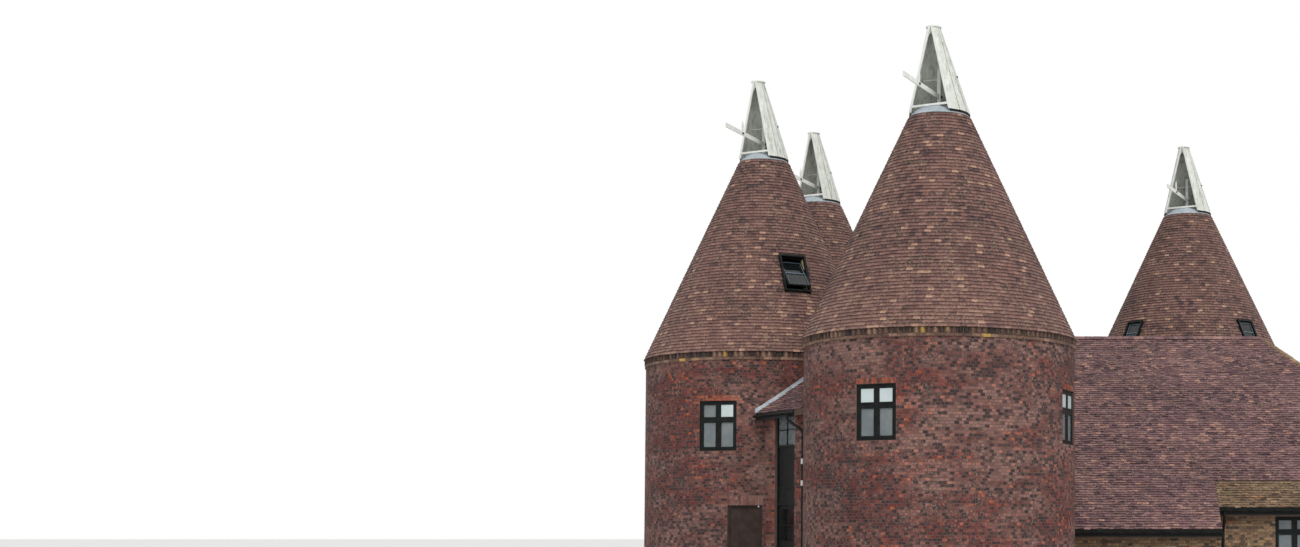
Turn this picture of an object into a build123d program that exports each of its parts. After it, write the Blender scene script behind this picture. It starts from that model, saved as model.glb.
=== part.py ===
"""An oast house: four round brick hop kilns with tiled cone roofs and white turning cowls. They
stand round a tiled stowage barn, and a small entrance lobby fills the corner between two of them.

Millimetres. +X runs along the ridge of the barn, +Y away from the front, +Z up. The origin is on
the ground at the axis of the front kiln. Azimuths are in degrees, seen from above, and turn from
the front (-Y) towards +X. Walls stand on the ground, and each roof sits on its walls.
"""

import os
from dataclasses import dataclass, field
from math import asin, atan2, ceil, cos, degrees, radians, sin, sqrt, tan

from build123d import *

os.makedirs("parts", exist_ok=True)

# General
fit_gap = 0.3  # between pieces that seat on each other
wall_bite = 60.0  # how deep a kiln wall is let into the wall that it stands against
floor_top = 100.0
upper_floor_top = 2900.0
upper_floor_thickness = 250.0

# Kilns
front_kiln_radius = 3460.0
side_kiln_radius = 3300.0
kiln_wall = 330.0
eaves_height = 6440.0
tile_overhang = 50.0
cone_top_height = 12240.0
cone_thickness = 220.0
front_curb_radius = 796.0
side_curb_radius = 710.0
segments_per_kiln = 12
cone_flats = 72  # each as wide as two tiles
left_kiln_y = 5500.0
back_left_turn = 8.4  # degrees from +Y, from the left kiln to the back left one
right_kiln_x = 8020.0

# Kiln windows
window_width = 1070.0
window_sill = 3760.0
window_head = 5110.0
window_recess = 70.0
frame_depth = 70.0
frame_member = 62.0
transom_share = 0.36
glass_thickness = 24.0

# Doorways
doorway_width = 940.0
doorway_head = 2290.0
inner_doorway_head = 2100.0
door_clearance = 6.0
door_thickness = 45.0
door_frame_member = 60.0
door_stile = 95.0
door_glazing_foot = 1340.0
hinge_pin_radius = 6.0
hinge_knuckle_radius = 11.0
hinge_stand = 4.0  # thickness of a hinge's leaf
hinge_leaf_width = 50.0
hinge_height = 100.0
hinge_from_end = 220.0

# Rooflights
rooflight_depth = 150.0
rooflight_stand = 65.0
rooflight_member = 55.0
sash_member = 50.0
sash_depth = 50.0
sash_clearance = 12.0
sash_opening = 20.0

# Curbs and cowls
curb_height = 200.0
curb_top_inset = 196.0
curb_flange = 10.0
curb_flats = 48
beam_width = 130.0
beam_depth = 90.0
beam_drop = 60.0
pivot_radius = 30.0
pivot_depth = 60.0
cowl_sides = 16
cowl_lift = 100.0  # underside of the skirt above the top of the tiles
cowl_height = 2190.0
cowl_board = 25.0
board_joint = 0.8
cowl_top_radius = 170.0
cowl_lean = 330.0  # how far the top stands towards the open side
cowl_azimuth = -26.0  # the wind turns every open side the same way
mouth_spread = 48.0  # degrees from the middle of the mouth to each edge, at its foot
sill_clearance = 20.0  # the mouth's sill board above the curb
sill_board = 55.0
mouth_top_width = 110.0
mouth_board = 60.0
mouth_lap = 10.0  # how far its boards stand past the cut edges
mouth_board_thickness = 36.0
cap_thickness = 30.0
cap_overhang = 34.0
post_size = 100.0
post_height = 1190.0
tie_height = 930.0
tie_radius = 15.0
vane_height = 400.0
vane_length = 1950.0
vane_depth = 120.0
vane_thickness = 30.0
vane_rise = 5.0  # degrees
finial_place = 1120.0
finial_height = 300.0
finial_width = 110.0

# Barn
barn_left = -2000.0
barn_back = 10700.0
barn_wall = 330.0
ridge_y = 8500.0
barn_pitch = 42.0
outshut_reach = 6497.0  # along the ground, from under the ridge out to the low eaves
front_reach = 5842.0  # and to the eaves on the right of the step
roof_thickness = 180.0
back_overhang = 200.0
verge = 100.0
side_overhang = 150.0
hip_start_x = 9600.0
outshut_eaves_height = 1650.0
outshut_right = 7500.0
front_wall_thickness = 225.0
front_setback = 260.0
barn_window_width = 1070.0
barn_window_height = 1100.0
low_window_sill = 900.0
high_window_sill = 3500.0
back_window_x = (1500.0, 4000.0)
end_window_y = (6700.0, 8700.0)
front_window_x = 9600.0
barn_upper_floor_y = 5000.0
passage_width = 1200.0
passage_y = 4050.0

# Lobby
lobby_left_azimuth = 8.6  # where its wall meets the left kiln
lobby_right_azimuth = -95.8  # where its wall meets the front kiln
lobby_wall_thickness = 225.0
lobby_eaves_height = 4745.0
lobby_overhang = 250.0
lobby_pitch = 36.5
lobby_roof_thickness = 130.0
lobby_depth = 1620.0
lobby_back_thickness = 110.0
lobby_parapet = 60.0
screen_start = 600.0
screen_width = 1080.0
screen_inset = 60.0
screen_depth = 75.0
screen_member = 60.0
screen_head = 4660.0
screen_sill = 3870.0
panel_middle = 2750.0
lobby_door_head = 2280.0
panel_thickness = 30.0
glazing_bar = 24.0
passage_roof_top = 2500.0
passage_roof_thickness = 150.0

# Gutters and pipe
gutter_radius = 58.0
gutter_wall = 5.0
gutter_drop = 60.0
lobby_gutter_start = 0.0
lobby_gutter_end = 2080.0
lobby_outlet = 1860.0
lobby_pipe_inset = 75.0
fascia_thickness = 22.0
fascia_depth = 190.0
pipe_radius = 36.0
pipe_clearance = 24.0
pipe_bend = 90.0
pipe_swan_drop = 300.0
pipe_clips = (1300.0, 3300.0)


@dataclass
class Kiln:
    """One round kiln: its axis, size, and the azimuths of what is cut through its wall and roof."""

    name: str
    x: float
    y: float
    radius: float
    curb_radius: float
    windows: list = field(default_factory=list)
    doors: list = field(default_factory=list)  # (azimuth, head)
    rooflights: list = field(default_factory=list)  # (azimuth, height, width, length)

    @property
    def inner_radius(self):
        return self.radius - kiln_wall

    def point(self, azimuth, distance, z=0.0):
        a = radians(azimuth)
        return Vector(self.x + distance * sin(a), self.y - distance * cos(a), z)

    def facing(self, azimuth, distance=0.0, z=0.0):
        """A plane that stands upright and faces out at this azimuth: its x runs along the wall."""
        a = radians(azimuth)
        return Plane(
            origin=self.point(azimuth, distance, z),
            x_dir=(cos(a), sin(a), 0),
            z_dir=(sin(a), -cos(a), 0),
        )

    def section(self, azimuth):
        """The upright half plane at this azimuth: its x runs out from the axis, its y runs up."""
        a = radians(azimuth)
        return Plane(
            origin=(self.x, self.y, 0),
            x_dir=(sin(a), -cos(a), 0),
            z_dir=(-cos(a), -sin(a), 0),
        )


def azimuth_to(from_x, from_y, to_x, to_y):
    return degrees(atan2(to_x - from_x, from_y - to_y))


left_x = barn_left - side_kiln_radius + wall_bite
back_left_step = 2 * side_kiln_radius - wall_bite
back_left_x = left_x + back_left_step * sin(radians(back_left_turn))
back_left_y = left_kiln_y + back_left_step * cos(radians(back_left_turn))
right_kiln_y = barn_back + front_kiln_radius - wall_bite
link_azimuth = azimuth_to(left_x, left_kiln_y, back_left_x, back_left_y)

front_kiln = Kiln(
    "front_kiln",
    0.0,
    0.0,
    front_kiln_radius,
    front_curb_radius,
    windows=[-24.5, 72.0],
    doors=[(180.0, inner_doorway_head)],
)
left_kiln = Kiln(
    "left_kiln",
    left_x,
    left_kiln_y,
    side_kiln_radius,
    side_curb_radius,
    windows=[-14.0, -104.0],
    doors=[(-0.5, doorway_head), (link_azimuth, inner_doorway_head)],
    rooflights=[(29.3, 8730.0, 780.0, 1180.0)],
)
back_left_kiln = Kiln(
    "back_left_kiln",
    back_left_x,
    back_left_y,
    side_kiln_radius,
    side_curb_radius,
    windows=[-100.0, 170.0],
    doors=[(link_azimuth - 180.0, inner_doorway_head)],
)
right_kiln = Kiln(
    "right_kiln",
    right_kiln_x,
    right_kiln_y,
    front_kiln_radius,
    front_curb_radius,
    windows=[80.0, 170.0, -100.0],
    doors=[(0.0, inner_doorway_head)],
    rooflights=[(-48.0, 8060.0, 660.0, 900.0), (38.0, 8060.0, 660.0, 900.0)],
)
kilns = [front_kiln, left_kiln, back_left_kiln, right_kiln]
for kiln in kilns:
    print(kiln.name, round(kiln.x), round(kiln.y))


def write(part, name):
    part.label = name
    export_step(part, f"parts/{name}.step")


def kiln_envelope(kiln):
    """The room that a kiln takes up, wall and roof, for cutting what meets it."""
    outer = kiln.radius + fit_gap
    with BuildPart() as room:
        with BuildSketch(kiln.section(0)):
            with BuildLine():
                Polyline(
                    (0, -1),
                    (outer, -1),
                    (outer, eaves_height - fit_gap),
                    (outer + tile_overhang, eaves_height - fit_gap),
                    (kiln.curb_radius + fit_gap, cone_top_height),
                    (0, cone_top_height),
                    close=True,
                )
            make_face()
        revolve(axis=Axis((kiln.x, kiln.y, 0), (0, 0, 1)))
    return room.part


def segment_spans(kiln):
    """The wall's segments as (start, end, foot). A doorway's segment starts at the door's head."""
    half = degrees(asin(doorway_width / 2 / kiln.radius))
    doors = sorted((azimuth % 360.0, head) for azimuth, head in kiln.doors)
    following = [azimuth for azimuth, _ in doors[1:]] + [doors[0][0] + 360.0]
    spans = []
    for (azimuth, head), next_azimuth in zip(doors, following):
        spans.append((azimuth - half, azimuth + half, head))
        start = azimuth + half
        free = next_azimuth - azimuth - 2 * half
        steps = ceil(free / 360.0 * segments_per_kiln)
        for i in range(steps):
            spans.append((start + free * i / steps, start + free * (i + 1) / steps, 0.0))
    return spans


def turned_segment(kiln, start, end, profile):
    """One segment, turned about the kiln's axis. The joint with its neighbour is a fit gap wide."""
    joint = degrees(fit_gap / kiln.inner_radius)
    with BuildPart() as segment:
        with BuildSketch(kiln.section(start)):
            with BuildLine():
                Polyline(*profile, close=True)
            make_face()
        revolve(axis=Axis((kiln.x, kiln.y, 0), (0, 0, 1)), revolution_arc=end - start - joint)
    return segment.part


def make_kiln_wall(kiln):
    with BuildPart() as wall:
        for start, end, foot in segment_spans(kiln):
            profile = [
                (kiln.inner_radius, foot),
                (kiln.radius, foot),
                (kiln.radius, eaves_height),
                (kiln.inner_radius, eaves_height),
            ]
            add(turned_segment(kiln, start, end, profile))
        for azimuth in kiln.windows:
            middle = (window_sill + window_head) / 2
            with Locations(kiln.facing(azimuth, kiln.radius - kiln_wall / 2, middle)):
                Box(window_width, window_head - window_sill, 2 * kiln_wall, mode=Mode.SUBTRACT)
        for azimuth, head in kiln.doors:
            with Locations(kiln.facing(azimuth, kiln.radius - kiln_wall / 2, head / 2)):
                Box(doorway_width, head, 2 * kiln_wall, mode=Mode.SUBTRACT)
        if kiln is back_left_kiln:
            add(kiln_envelope(left_kiln), mode=Mode.SUBTRACT)
    write(wall.part, f"{kiln.name}_wall")


def cone_slope(kiln):
    """How far the roof comes in for each unit of height."""
    run = kiln.radius + tile_overhang - kiln.curb_radius
    return run / (cone_top_height - eaves_height)


def cone_radius(kiln, z):
    return kiln.radius + tile_overhang - (z - eaves_height) * cone_slope(kiln)


def rooflight_plane(kiln, azimuth, z):
    """A plane on the cone's outer face: its x runs level, its y up the slope, its z out."""
    a = radians(azimuth)
    slope = atan2(cone_slope(kiln), 1.0)
    return Plane(
        origin=kiln.point(azimuth, cone_radius(kiln, z), z),
        x_dir=(cos(a), sin(a), 0),
        z_dir=(cos(slope) * sin(a), -cos(slope) * cos(a), sin(slope)),
    )


def make_kiln_roof(kiln):
    """The roof goes round in narrow flats, as its tiles do, and is parted into segments."""
    foot = Plane(origin=(kiln.x, kiln.y, eaves_height))
    rise = cone_top_height - eaves_height
    lean = degrees(atan2(cone_slope(kiln), 1.0))
    outer = cone_radius(kiln, eaves_height)
    with BuildPart() as cone:
        with BuildSketch(foot):
            RegularPolygon(outer, cone_flats)
        extrude(amount=rise, taper=lean)
        with BuildSketch(foot):
            RegularPolygon(outer - cone_thickness, cone_flats, major_radius=False)
        extrude(amount=rise, taper=lean, mode=Mode.SUBTRACT)
        with Locations(foot):
            with PolarLocations(0, segments_per_kiln // 2, angular_range=180):
                Box(3 * outer, fit_gap, 3 * rise, mode=Mode.SUBTRACT)
        for azimuth, z, width, length in kiln.rooflights:
            with Locations(rooflight_plane(kiln, azimuth, z)):
                Box(
                    width + 2 * fit_gap,
                    length + 2 * fit_gap,
                    4 * cone_thickness,
                    mode=Mode.SUBTRACT,
                )
        if kiln is back_left_kiln:
            add(kiln_envelope(left_kiln), mode=Mode.SUBTRACT)
    write(cone.part, f"{kiln.name}_roof")


def window_lights(width, height, member, transom):
    """The four panes of a window as (x, y, width, height) about its middle."""
    pane_width = (width - 3 * member) / 2
    free = height - 3 * member
    upper = free * transom
    lower = free - upper
    x = (pane_width + member) / 2
    y_upper = height / 2 - member - upper / 2
    y_lower = -height / 2 + member + lower / 2
    panes = ((y_upper, upper), (y_lower, lower))
    return [(side * x, y, pane_width, pane) for side in (-1, 1) for y, pane in panes]


def window_frame(plane, width, height, depth=frame_depth):
    """A timber frame with a mullion and a transom. The plane is its outer face, at its middle."""
    with BuildPart() as timber:
        with BuildSketch(plane):
            Rectangle(width - 2 * fit_gap, height - 2 * fit_gap)
            for x, y, pane_width, pane_height in window_lights(width, height, frame_member, transom_share):
                with Locations((x, y)):
                    Rectangle(pane_width, pane_height, mode=Mode.SUBTRACT)
        extrude(amount=-depth)
    return timber.part


def window_glass(plane, width, height, depth=frame_depth):
    """Double glazing in each light of a frame, held in the middle of its depth."""
    with BuildPart() as panes:
        with BuildSketch(plane.offset(-(depth - glass_thickness) / 2)):
            for x, y, pane_width, pane_height in window_lights(width, height, frame_member, transom_share):
                with Locations((x, y)):
                    Rectangle(pane_width - 2 * fit_gap, pane_height - 2 * fit_gap)
        extrude(amount=-glass_thickness)
    return panes.part


def kiln_window_plane(kiln, azimuth):
    return kiln.facing(azimuth, kiln.radius - window_recess, (window_sill + window_head) / 2)


# The barn's roof surface and what stands under it
barn_slope = tan(radians(barn_pitch))
roof_drop = roof_thickness / cos(radians(barn_pitch))
ridge_height = outshut_eaves_height + outshut_reach * barn_slope


def roof_top(y):
    return ridge_height - abs(ridge_y - y) * barn_slope


outshut_eaves_y = ridge_y - outshut_reach
front_eaves_y = ridge_y - front_reach
front_eaves_height = roof_top(front_eaves_y)
back_eaves_y = barn_back + back_overhang
back_eaves_height = roof_top(back_eaves_y)
hip_end_x = hip_start_x + (ridge_height - back_eaves_height) / barn_slope
barn_right = hip_end_x - side_overhang
hip_corner_y = ridge_y - (hip_end_x - hip_start_x)
outshut_wall_y = outshut_eaves_y + front_setback
front_wall_y = front_eaves_y + front_setback


def barn_windows():
    """(plane on the outer face, width, height) of every window in the barn's walls."""
    planes = []
    near_x, far_x = back_window_x
    for x, sill in ((near_x, high_window_sill), (near_x, low_window_sill), (far_x, low_window_sill)):
        planes.append(
            Plane(
                origin=(x, barn_back - window_recess, sill + barn_window_height / 2),
                x_dir=(-1, 0, 0),
                z_dir=(0, 1, 0),
            )
        )
    near_y, far_y = end_window_y
    for y, sill in ((near_y, high_window_sill), (far_y, high_window_sill), (near_y, low_window_sill)):
        planes.append(
            Plane(
                origin=(barn_right - window_recess, y, sill + barn_window_height / 2),
                x_dir=(0, 1, 0),
                z_dir=(1, 0, 0),
            )
        )
    planes.append(
        Plane(
            origin=(
                front_window_x,
                front_wall_y + window_recess,
                low_window_sill + barn_window_height / 2,
            ),
            x_dir=(1, 0, 0),
            z_dir=(0, -1, 0),
        )
    )
    return planes


def cut_barn_windows():
    for plane in barn_windows():
        with Locations(plane):
            Box(barn_window_width, barn_window_height, 3 * barn_wall, mode=Mode.SUBTRACT)


def roof_underside_cut():
    """All that lies over the underside of the barn's roof, for trimming its walls."""
    top = ridge_height + 1000
    far = 20000
    with BuildPart() as over:
        with BuildSketch(Plane.YZ.offset(barn_left - far)):
            with BuildLine():
                Polyline(
                    (ridge_y - far, roof_top(ridge_y - far) - roof_drop),
                    (ridge_y, ridge_height - roof_drop),
                    (ridge_y + far, roof_top(ridge_y + far) - roof_drop),
                    (ridge_y + far, top),
                    (ridge_y - far, top),
                    close=True,
                )
            make_face()
        extrude(amount=barn_right - barn_left + 2 * far)
    return over.part


def hip_underside_cut():
    """All that lies over the underside of the hipped end."""
    far = 6000
    with BuildPart() as over:
        with BuildSketch(Plane.XZ.offset(-(ridge_y + far))):
            with BuildLine():
                Polyline(
                    (hip_start_x, ridge_height - roof_drop),
                    (hip_start_x + far, ridge_height - roof_drop - far * barn_slope),
                    (hip_start_x + far, ridge_height + far),
                    (hip_start_x, ridge_height + far),
                    close=True,
                )
            make_face()
        extrude(amount=2 * far)
    return over.part


def roof_slab(lower_y, upper_y, left, right):
    """A slab of the barn's roof between two lines along it: plumb at both edges."""
    with BuildPart() as slab:
        with BuildSketch(Plane.YZ.offset(left)):
            with BuildLine():
                Polyline(
                    (lower_y, roof_top(lower_y) - roof_drop),
                    (lower_y, roof_top(lower_y)),
                    (upper_y, roof_top(upper_y)),
                    (upper_y, roof_top(upper_y) - roof_drop),
                    close=True,
                )
            make_face()
        extrude(amount=right - left)
    return slab.part


def keep_plan(*corners):
    """Keep only what lies over this outline on the ground."""
    with BuildSketch(Plane.XY) as plan:
        with BuildLine():
            Polyline(*corners, close=True)
        make_face()
    extrude(plan.sketch, amount=ridge_height + roof_thickness, mode=Mode.INTERSECT)


def cut_kilns():
    for one in kilns:
        add(kiln_envelope(one), mode=Mode.SUBTRACT)


def make_barn_roof():
    left = barn_left - verge
    seam_y = front_kiln_radius + 2 * fit_gap
    far = hip_end_x + roof_thickness
    with BuildPart() as front_roof:
        add(roof_slab(seam_y, ridge_y, left, far))
        keep_plan(
            (left, seam_y),
            (hip_end_x, seam_y),
            (hip_end_x, hip_corner_y),
            (hip_start_x, ridge_y),
            (left, ridge_y),
        )
        cut_kilns()
    write(front_roof.part, "front_roof")

    with BuildPart() as catslide_roof:
        add(roof_slab(outshut_eaves_y, seam_y, 0, outshut_right))
        cut_kilns()
    write(catslide_roof.part, "catslide_roof")

    with BuildPart() as front_eaves_roof:
        add(roof_slab(front_eaves_y, seam_y, outshut_right, hip_end_x))
    write(front_eaves_roof.part, "front_eaves_roof")

    with BuildPart() as back_roof:
        add(roof_slab(ridge_y, back_eaves_y, left, far))
        keep_plan(
            (left, ridge_y),
            (hip_start_x, ridge_y),
            (hip_end_x, back_eaves_y),
            (left, back_eaves_y),
        )
        cut_kilns()
    write(back_roof.part, "back_roof")

    with BuildPart() as hip_roof:
        with BuildSketch(Plane.XZ.offset(-back_eaves_y)):
            with BuildLine():
                Polyline(
                    (hip_start_x, ridge_height - roof_drop),
                    (hip_start_x, ridge_height),
                    (hip_end_x, back_eaves_height),
                    (hip_end_x, back_eaves_height - roof_drop),
                    close=True,
                )
            make_face()
        extrude(amount=back_eaves_y - hip_corner_y)
        keep_plan((hip_start_x, ridge_y), (hip_end_x, hip_corner_y), (hip_end_x, back_eaves_y))
    write(hip_roof.part, "hip_roof")


def block(x, y, z):
    """A box from its limits along each axis."""
    with Locations(((x[0] + x[1]) / 2, (y[0] + y[1]) / 2, (z[0] + z[1]) / 2)):
        Box(x[1] - x[0], y[1] - y[0], z[1] - z[0])


def trim_under_roof():
    add(roof_underside_cut(), mode=Mode.SUBTRACT)


def make_barn_walls():
    full = (0, ridge_height)
    inner_left = barn_left + barn_wall
    inner_right = barn_right - barn_wall
    inner_back = barn_back - barn_wall
    passage_near = passage_y - passage_width / 2
    passage_far = passage_y + passage_width / 2
    door_left = right_kiln_x - doorway_width / 2
    door_right = right_kiln_x + doorway_width / 2

    with BuildPart() as back_wall:
        block((barn_left, door_left), (inner_back, barn_back), full)
        block((door_right, inner_right), (inner_back, barn_back), full)
        trim_under_roof()
        add(hip_underside_cut(), mode=Mode.SUBTRACT)
        cut_kilns()
        cut_barn_windows()
    write(back_wall.part, "back_wall")

    with BuildPart() as left_end_wall:
        block((barn_left, inner_left), (0, passage_near), full)
        block((barn_left, inner_left), (passage_far, inner_back), full)
        trim_under_roof()
        cut_kilns()
    write(left_end_wall.part, "left_end_wall")

    with BuildPart() as walls_over_doorways:
        block((door_left, door_right), (inner_back, barn_back), (inner_doorway_head, ridge_height))
        block(
            (barn_left, inner_left),
            (passage_near, passage_far),
            (inner_doorway_head, ridge_height),
        )
        trim_under_roof()
        cut_kilns()
    write(walls_over_doorways.part, "walls_over_doorways")

    with BuildPart() as right_end_wall:
        block((inner_right, barn_right), (front_wall_y, barn_back), full)
        trim_under_roof()
        add(hip_underside_cut(), mode=Mode.SUBTRACT)
        cut_barn_windows()
    write(right_end_wall.part, "right_end_wall")

    with BuildPart() as front_wall:
        block(
            (outshut_right, inner_right),
            (front_wall_y, front_wall_y + front_wall_thickness),
            full,
        )
        trim_under_roof()
        cut_barn_windows()
    write(front_wall.part, "front_wall")

    with BuildPart() as outshut_wall:
        block(
            (0, outshut_right),
            (outshut_wall_y, outshut_wall_y + front_wall_thickness),
            full,
        )
        trim_under_roof()
        cut_kilns()
    write(outshut_wall.part, "outshut_wall")

    with BuildPart() as outshut_end_wall:
        block(
            (outshut_right - front_wall_thickness, outshut_right),
            (outshut_wall_y + front_wall_thickness, front_wall_y + front_wall_thickness),
            full,
        )
        trim_under_roof()
    write(outshut_end_wall.part, "outshut_end_wall")


def make_floors():
    inner_left = barn_left + barn_wall + fit_gap
    inner_right = barn_right - barn_wall - fit_gap
    inner_front = front_wall_y + front_wall_thickness + fit_gap
    inner_back = barn_back - barn_wall - fit_gap
    half_door = doorway_width / 2 - fit_gap
    half_passage = passage_width / 2 - fit_gap
    ground = (0, floor_top)
    with BuildPart() as ground_floors:
        for kiln in kilns:
            with BuildSketch(Plane((kiln.x, kiln.y, 0))):
                RegularPolygon(kiln.inner_radius - fit_gap, 3 * segments_per_kiln)
            extrude(amount=floor_top)
            for azimuth, _ in kiln.doors:
                reach = kiln.radius - wall_bite - 2 * fit_gap
                with Locations(kiln.facing(azimuth, reach / 2, floor_top / 2)):
                    Box(2 * half_door, floor_top, reach)
    write(ground_floors.part, "kiln_ground_floors")

    with BuildPart() as barn_floor:
        block((inner_left, inner_right), (inner_front, inner_back), ground)
        block(
            (0, outshut_right - front_wall_thickness - fit_gap),
            (outshut_wall_y + front_wall_thickness + fit_gap, inner_front),
            ground,
        )
        block((right_kiln_x - half_door, right_kiln_x + half_door), (inner_back, barn_back), ground)
        block(
            (barn_left, inner_left),
            (passage_y - half_passage, passage_y + half_passage),
            ground,
        )
        cut_kilns()
    write(barn_floor.part, "barn_floor")

    with BuildPart() as upper_floors:
        for kiln in kilns:
            with BuildSketch(Plane((kiln.x, kiln.y, upper_floor_top - upper_floor_thickness))):
                RegularPolygon(kiln.inner_radius - fit_gap, 3 * segments_per_kiln)
            extrude(amount=upper_floor_thickness)
    write(upper_floors.part, "kiln_upper_floors")

    with BuildPart() as barn_upper_floor:
        block(
            (inner_left, inner_right),
            (barn_upper_floor_y, inner_back),
            (upper_floor_top - upper_floor_thickness, upper_floor_top),
        )
        cut_kilns()
    write(barn_upper_floor.part, "barn_upper_floor")


def make_lead_curbs():
    """A lead skirt on the top of each cone. It slopes in, and is open in the middle."""
    lean = degrees(atan2(curb_top_inset, curb_height))
    with BuildPart() as lead_curbs:
        for kiln in kilns:
            with BuildSketch(Plane(origin=(kiln.x, kiln.y, cone_top_height + fit_gap))) as skirt:
                RegularPolygon(kiln.curb_radius + curb_flange, curb_flats)
            extrude(skirt.sketch, amount=curb_height, taper=lean)
            with BuildSketch(Plane(origin=(kiln.x, kiln.y, cone_top_height))) as well:
                RegularPolygon(kiln.curb_radius - cone_thickness, curb_flats)
            extrude(well.sketch, amount=2 * curb_height, mode=Mode.SUBTRACT)
    write(lead_curbs.part, "lead_curbs")


def cowl_beam(kiln):
    """A beam across the top of a cone, with the hole that the cowl's pin turns in."""
    top = cone_top_height - beam_drop
    bottom = top - beam_depth
    reach = cone_thickness + fit_gap
    with BuildPart() as beam:
        with BuildSketch(kiln.section(cowl_azimuth)):
            with BuildLine():
                Polyline(
                    (0, bottom),
                    (cone_radius(kiln, bottom) - reach, bottom),
                    (cone_radius(kiln, top) - reach, top),
                    (0, top),
                    close=True,
                )
            make_face()
        revolve(axis=Axis((kiln.x, kiln.y, 0), (0, 0, 1)))
        with Locations(kiln.facing(cowl_azimuth, 0, (top + bottom) / 2)):
            Box(3 * kiln.curb_radius, 2 * beam_depth, beam_width, mode=Mode.INTERSECT)
        with Locations((kiln.x, kiln.y, top - pivot_depth / 2)):
            Cylinder(pivot_radius + fit_gap, pivot_depth, mode=Mode.SUBTRACT)
    return beam.part


def make_cowl_beams():
    with BuildPart() as cowl_beams:
        for kiln in kilns:
            add(cowl_beam(kiln))
    write(cowl_beams.part, "cowl_beams")


class Cowl:
    """The frame of one cowl: its sides are boards between a lower and an upper polygon."""

    def __init__(self, kiln):
        self.kiln = kiln
        self.base_z = cone_top_height + cowl_lift
        self.top_z = self.base_z + cowl_height
        self.radius = kiln.curb_radius
        self.mouth_foot = self.radius * cos(radians(mouth_spread))
        self.mouth_top = cowl_lean + sqrt(cowl_top_radius**2 - (mouth_top_width / 2) ** 2)

    def mouth_at(self, height):
        """How far the mouth's plane stands from the axis at this height above the base."""
        return self.mouth_foot + (self.mouth_top - self.mouth_foot) * height / cowl_height

    @property
    def mouth_face(self):
        """The plane of the mouth, from its middle at the foot: its x runs across, its y up."""
        a = radians(cowl_azimuth)
        out = Vector(sin(a), -cos(a), 0)
        across = Vector(cos(a), sin(a), 0)
        up = Vector(0, 0, cowl_height) + out * (self.mouth_top - self.mouth_foot)
        origin = self.kiln.point(cowl_azimuth, self.mouth_foot, self.base_z)
        return Plane(origin=origin, x_dir=across, z_dir=across.cross(up))

    def plane(self, z):
        """A level plane with its x towards the open side."""
        a = radians(cowl_azimuth)
        return Plane(
            origin=(self.kiln.x, self.kiln.y, z), x_dir=(sin(a), -cos(a), 0), z_dir=(0, 0, 1)
        )

    def side_plane(self, offset=0.0):
        """The upright plane through the axis: its x runs to the open side, its y up."""
        return self.kiln.section(cowl_azimuth).offset(offset)

    def body(self, inset):
        """The whole body without its mouth, drawn in by this inset."""
        with BuildPart() as form:
            with BuildSketch(self.plane(self.base_z)):
                RegularPolygon(self.radius - inset, cowl_sides)
            with BuildSketch(self.plane(self.top_z)):
                with Locations((cowl_lean, 0)):
                    RegularPolygon(cowl_top_radius - inset, cowl_sides)
            loft(ruled=True)
        return form.part


def cut_mouth(cowl):
    """Take away all that lies in front of the mouth's plane."""
    reach = 3 * cowl.radius
    above = cowl_height + cap_thickness
    with BuildSketch(cowl.side_plane(-reach)) as front:
        with BuildLine():
            Polyline(
                (cowl.mouth_at(-cowl_board), cowl.base_z - cowl_board),
                (reach, cowl.base_z - cowl_board),
                (reach, cowl.base_z + above),
                (cowl.mouth_at(above), cowl.base_z + above),
                close=True,
            )
        make_face()
    extrude(front.sketch, amount=2 * reach, mode=Mode.SUBTRACT)


def stave_corners(cowl, number):
    """The corners of one stave's outer face: two at the foot, then two at the top."""
    step = 360 / cowl_sides
    joint = degrees(board_joint / cowl.radius)
    turns = (number * step + joint / 2, (number + 1) * step - joint / 2)
    levels = ((cowl.base_z, cowl.radius, 0), (cowl.top_z, cowl_top_radius, cowl_lean))
    return [
        cowl.plane(z).from_local_coords(Vector(radius, 0).rotate(Axis.Z, turn) + Vector(lean, 0))
        for z, radius, lean in levels
        for turn in turns
    ]


def make_cowl_boards(cowl):
    """Flat staves, each drawn on its outer face and mitred where it meets the next."""
    with BuildPart() as boards:
        for number in range(cowl_sides):
            foot, next_foot, top, next_top = stave_corners(cowl, number)
            along = (next_foot - foot).normalized()
            inward = (top - foot).cross(along).normalized()
            face = Plane(origin=foot, x_dir=along, z_dir=inward)
            level_share = sqrt(inward.X**2 + inward.Y**2) * cos(radians(180 / cowl_sides))
            with BuildSketch(face):
                with BuildLine():
                    corners = [face.to_local_coords(v) for v in (foot, next_foot, next_top, top)]
                    Polyline(*[(v.X, v.Y) for v in corners], close=True)
                make_face()
            extrude(amount=cowl_board * level_share, taper=180 / cowl_sides)
        cut_mouth(cowl)
    write(boards.part, f"{cowl.kiln.name}_cowl_boards")


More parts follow.
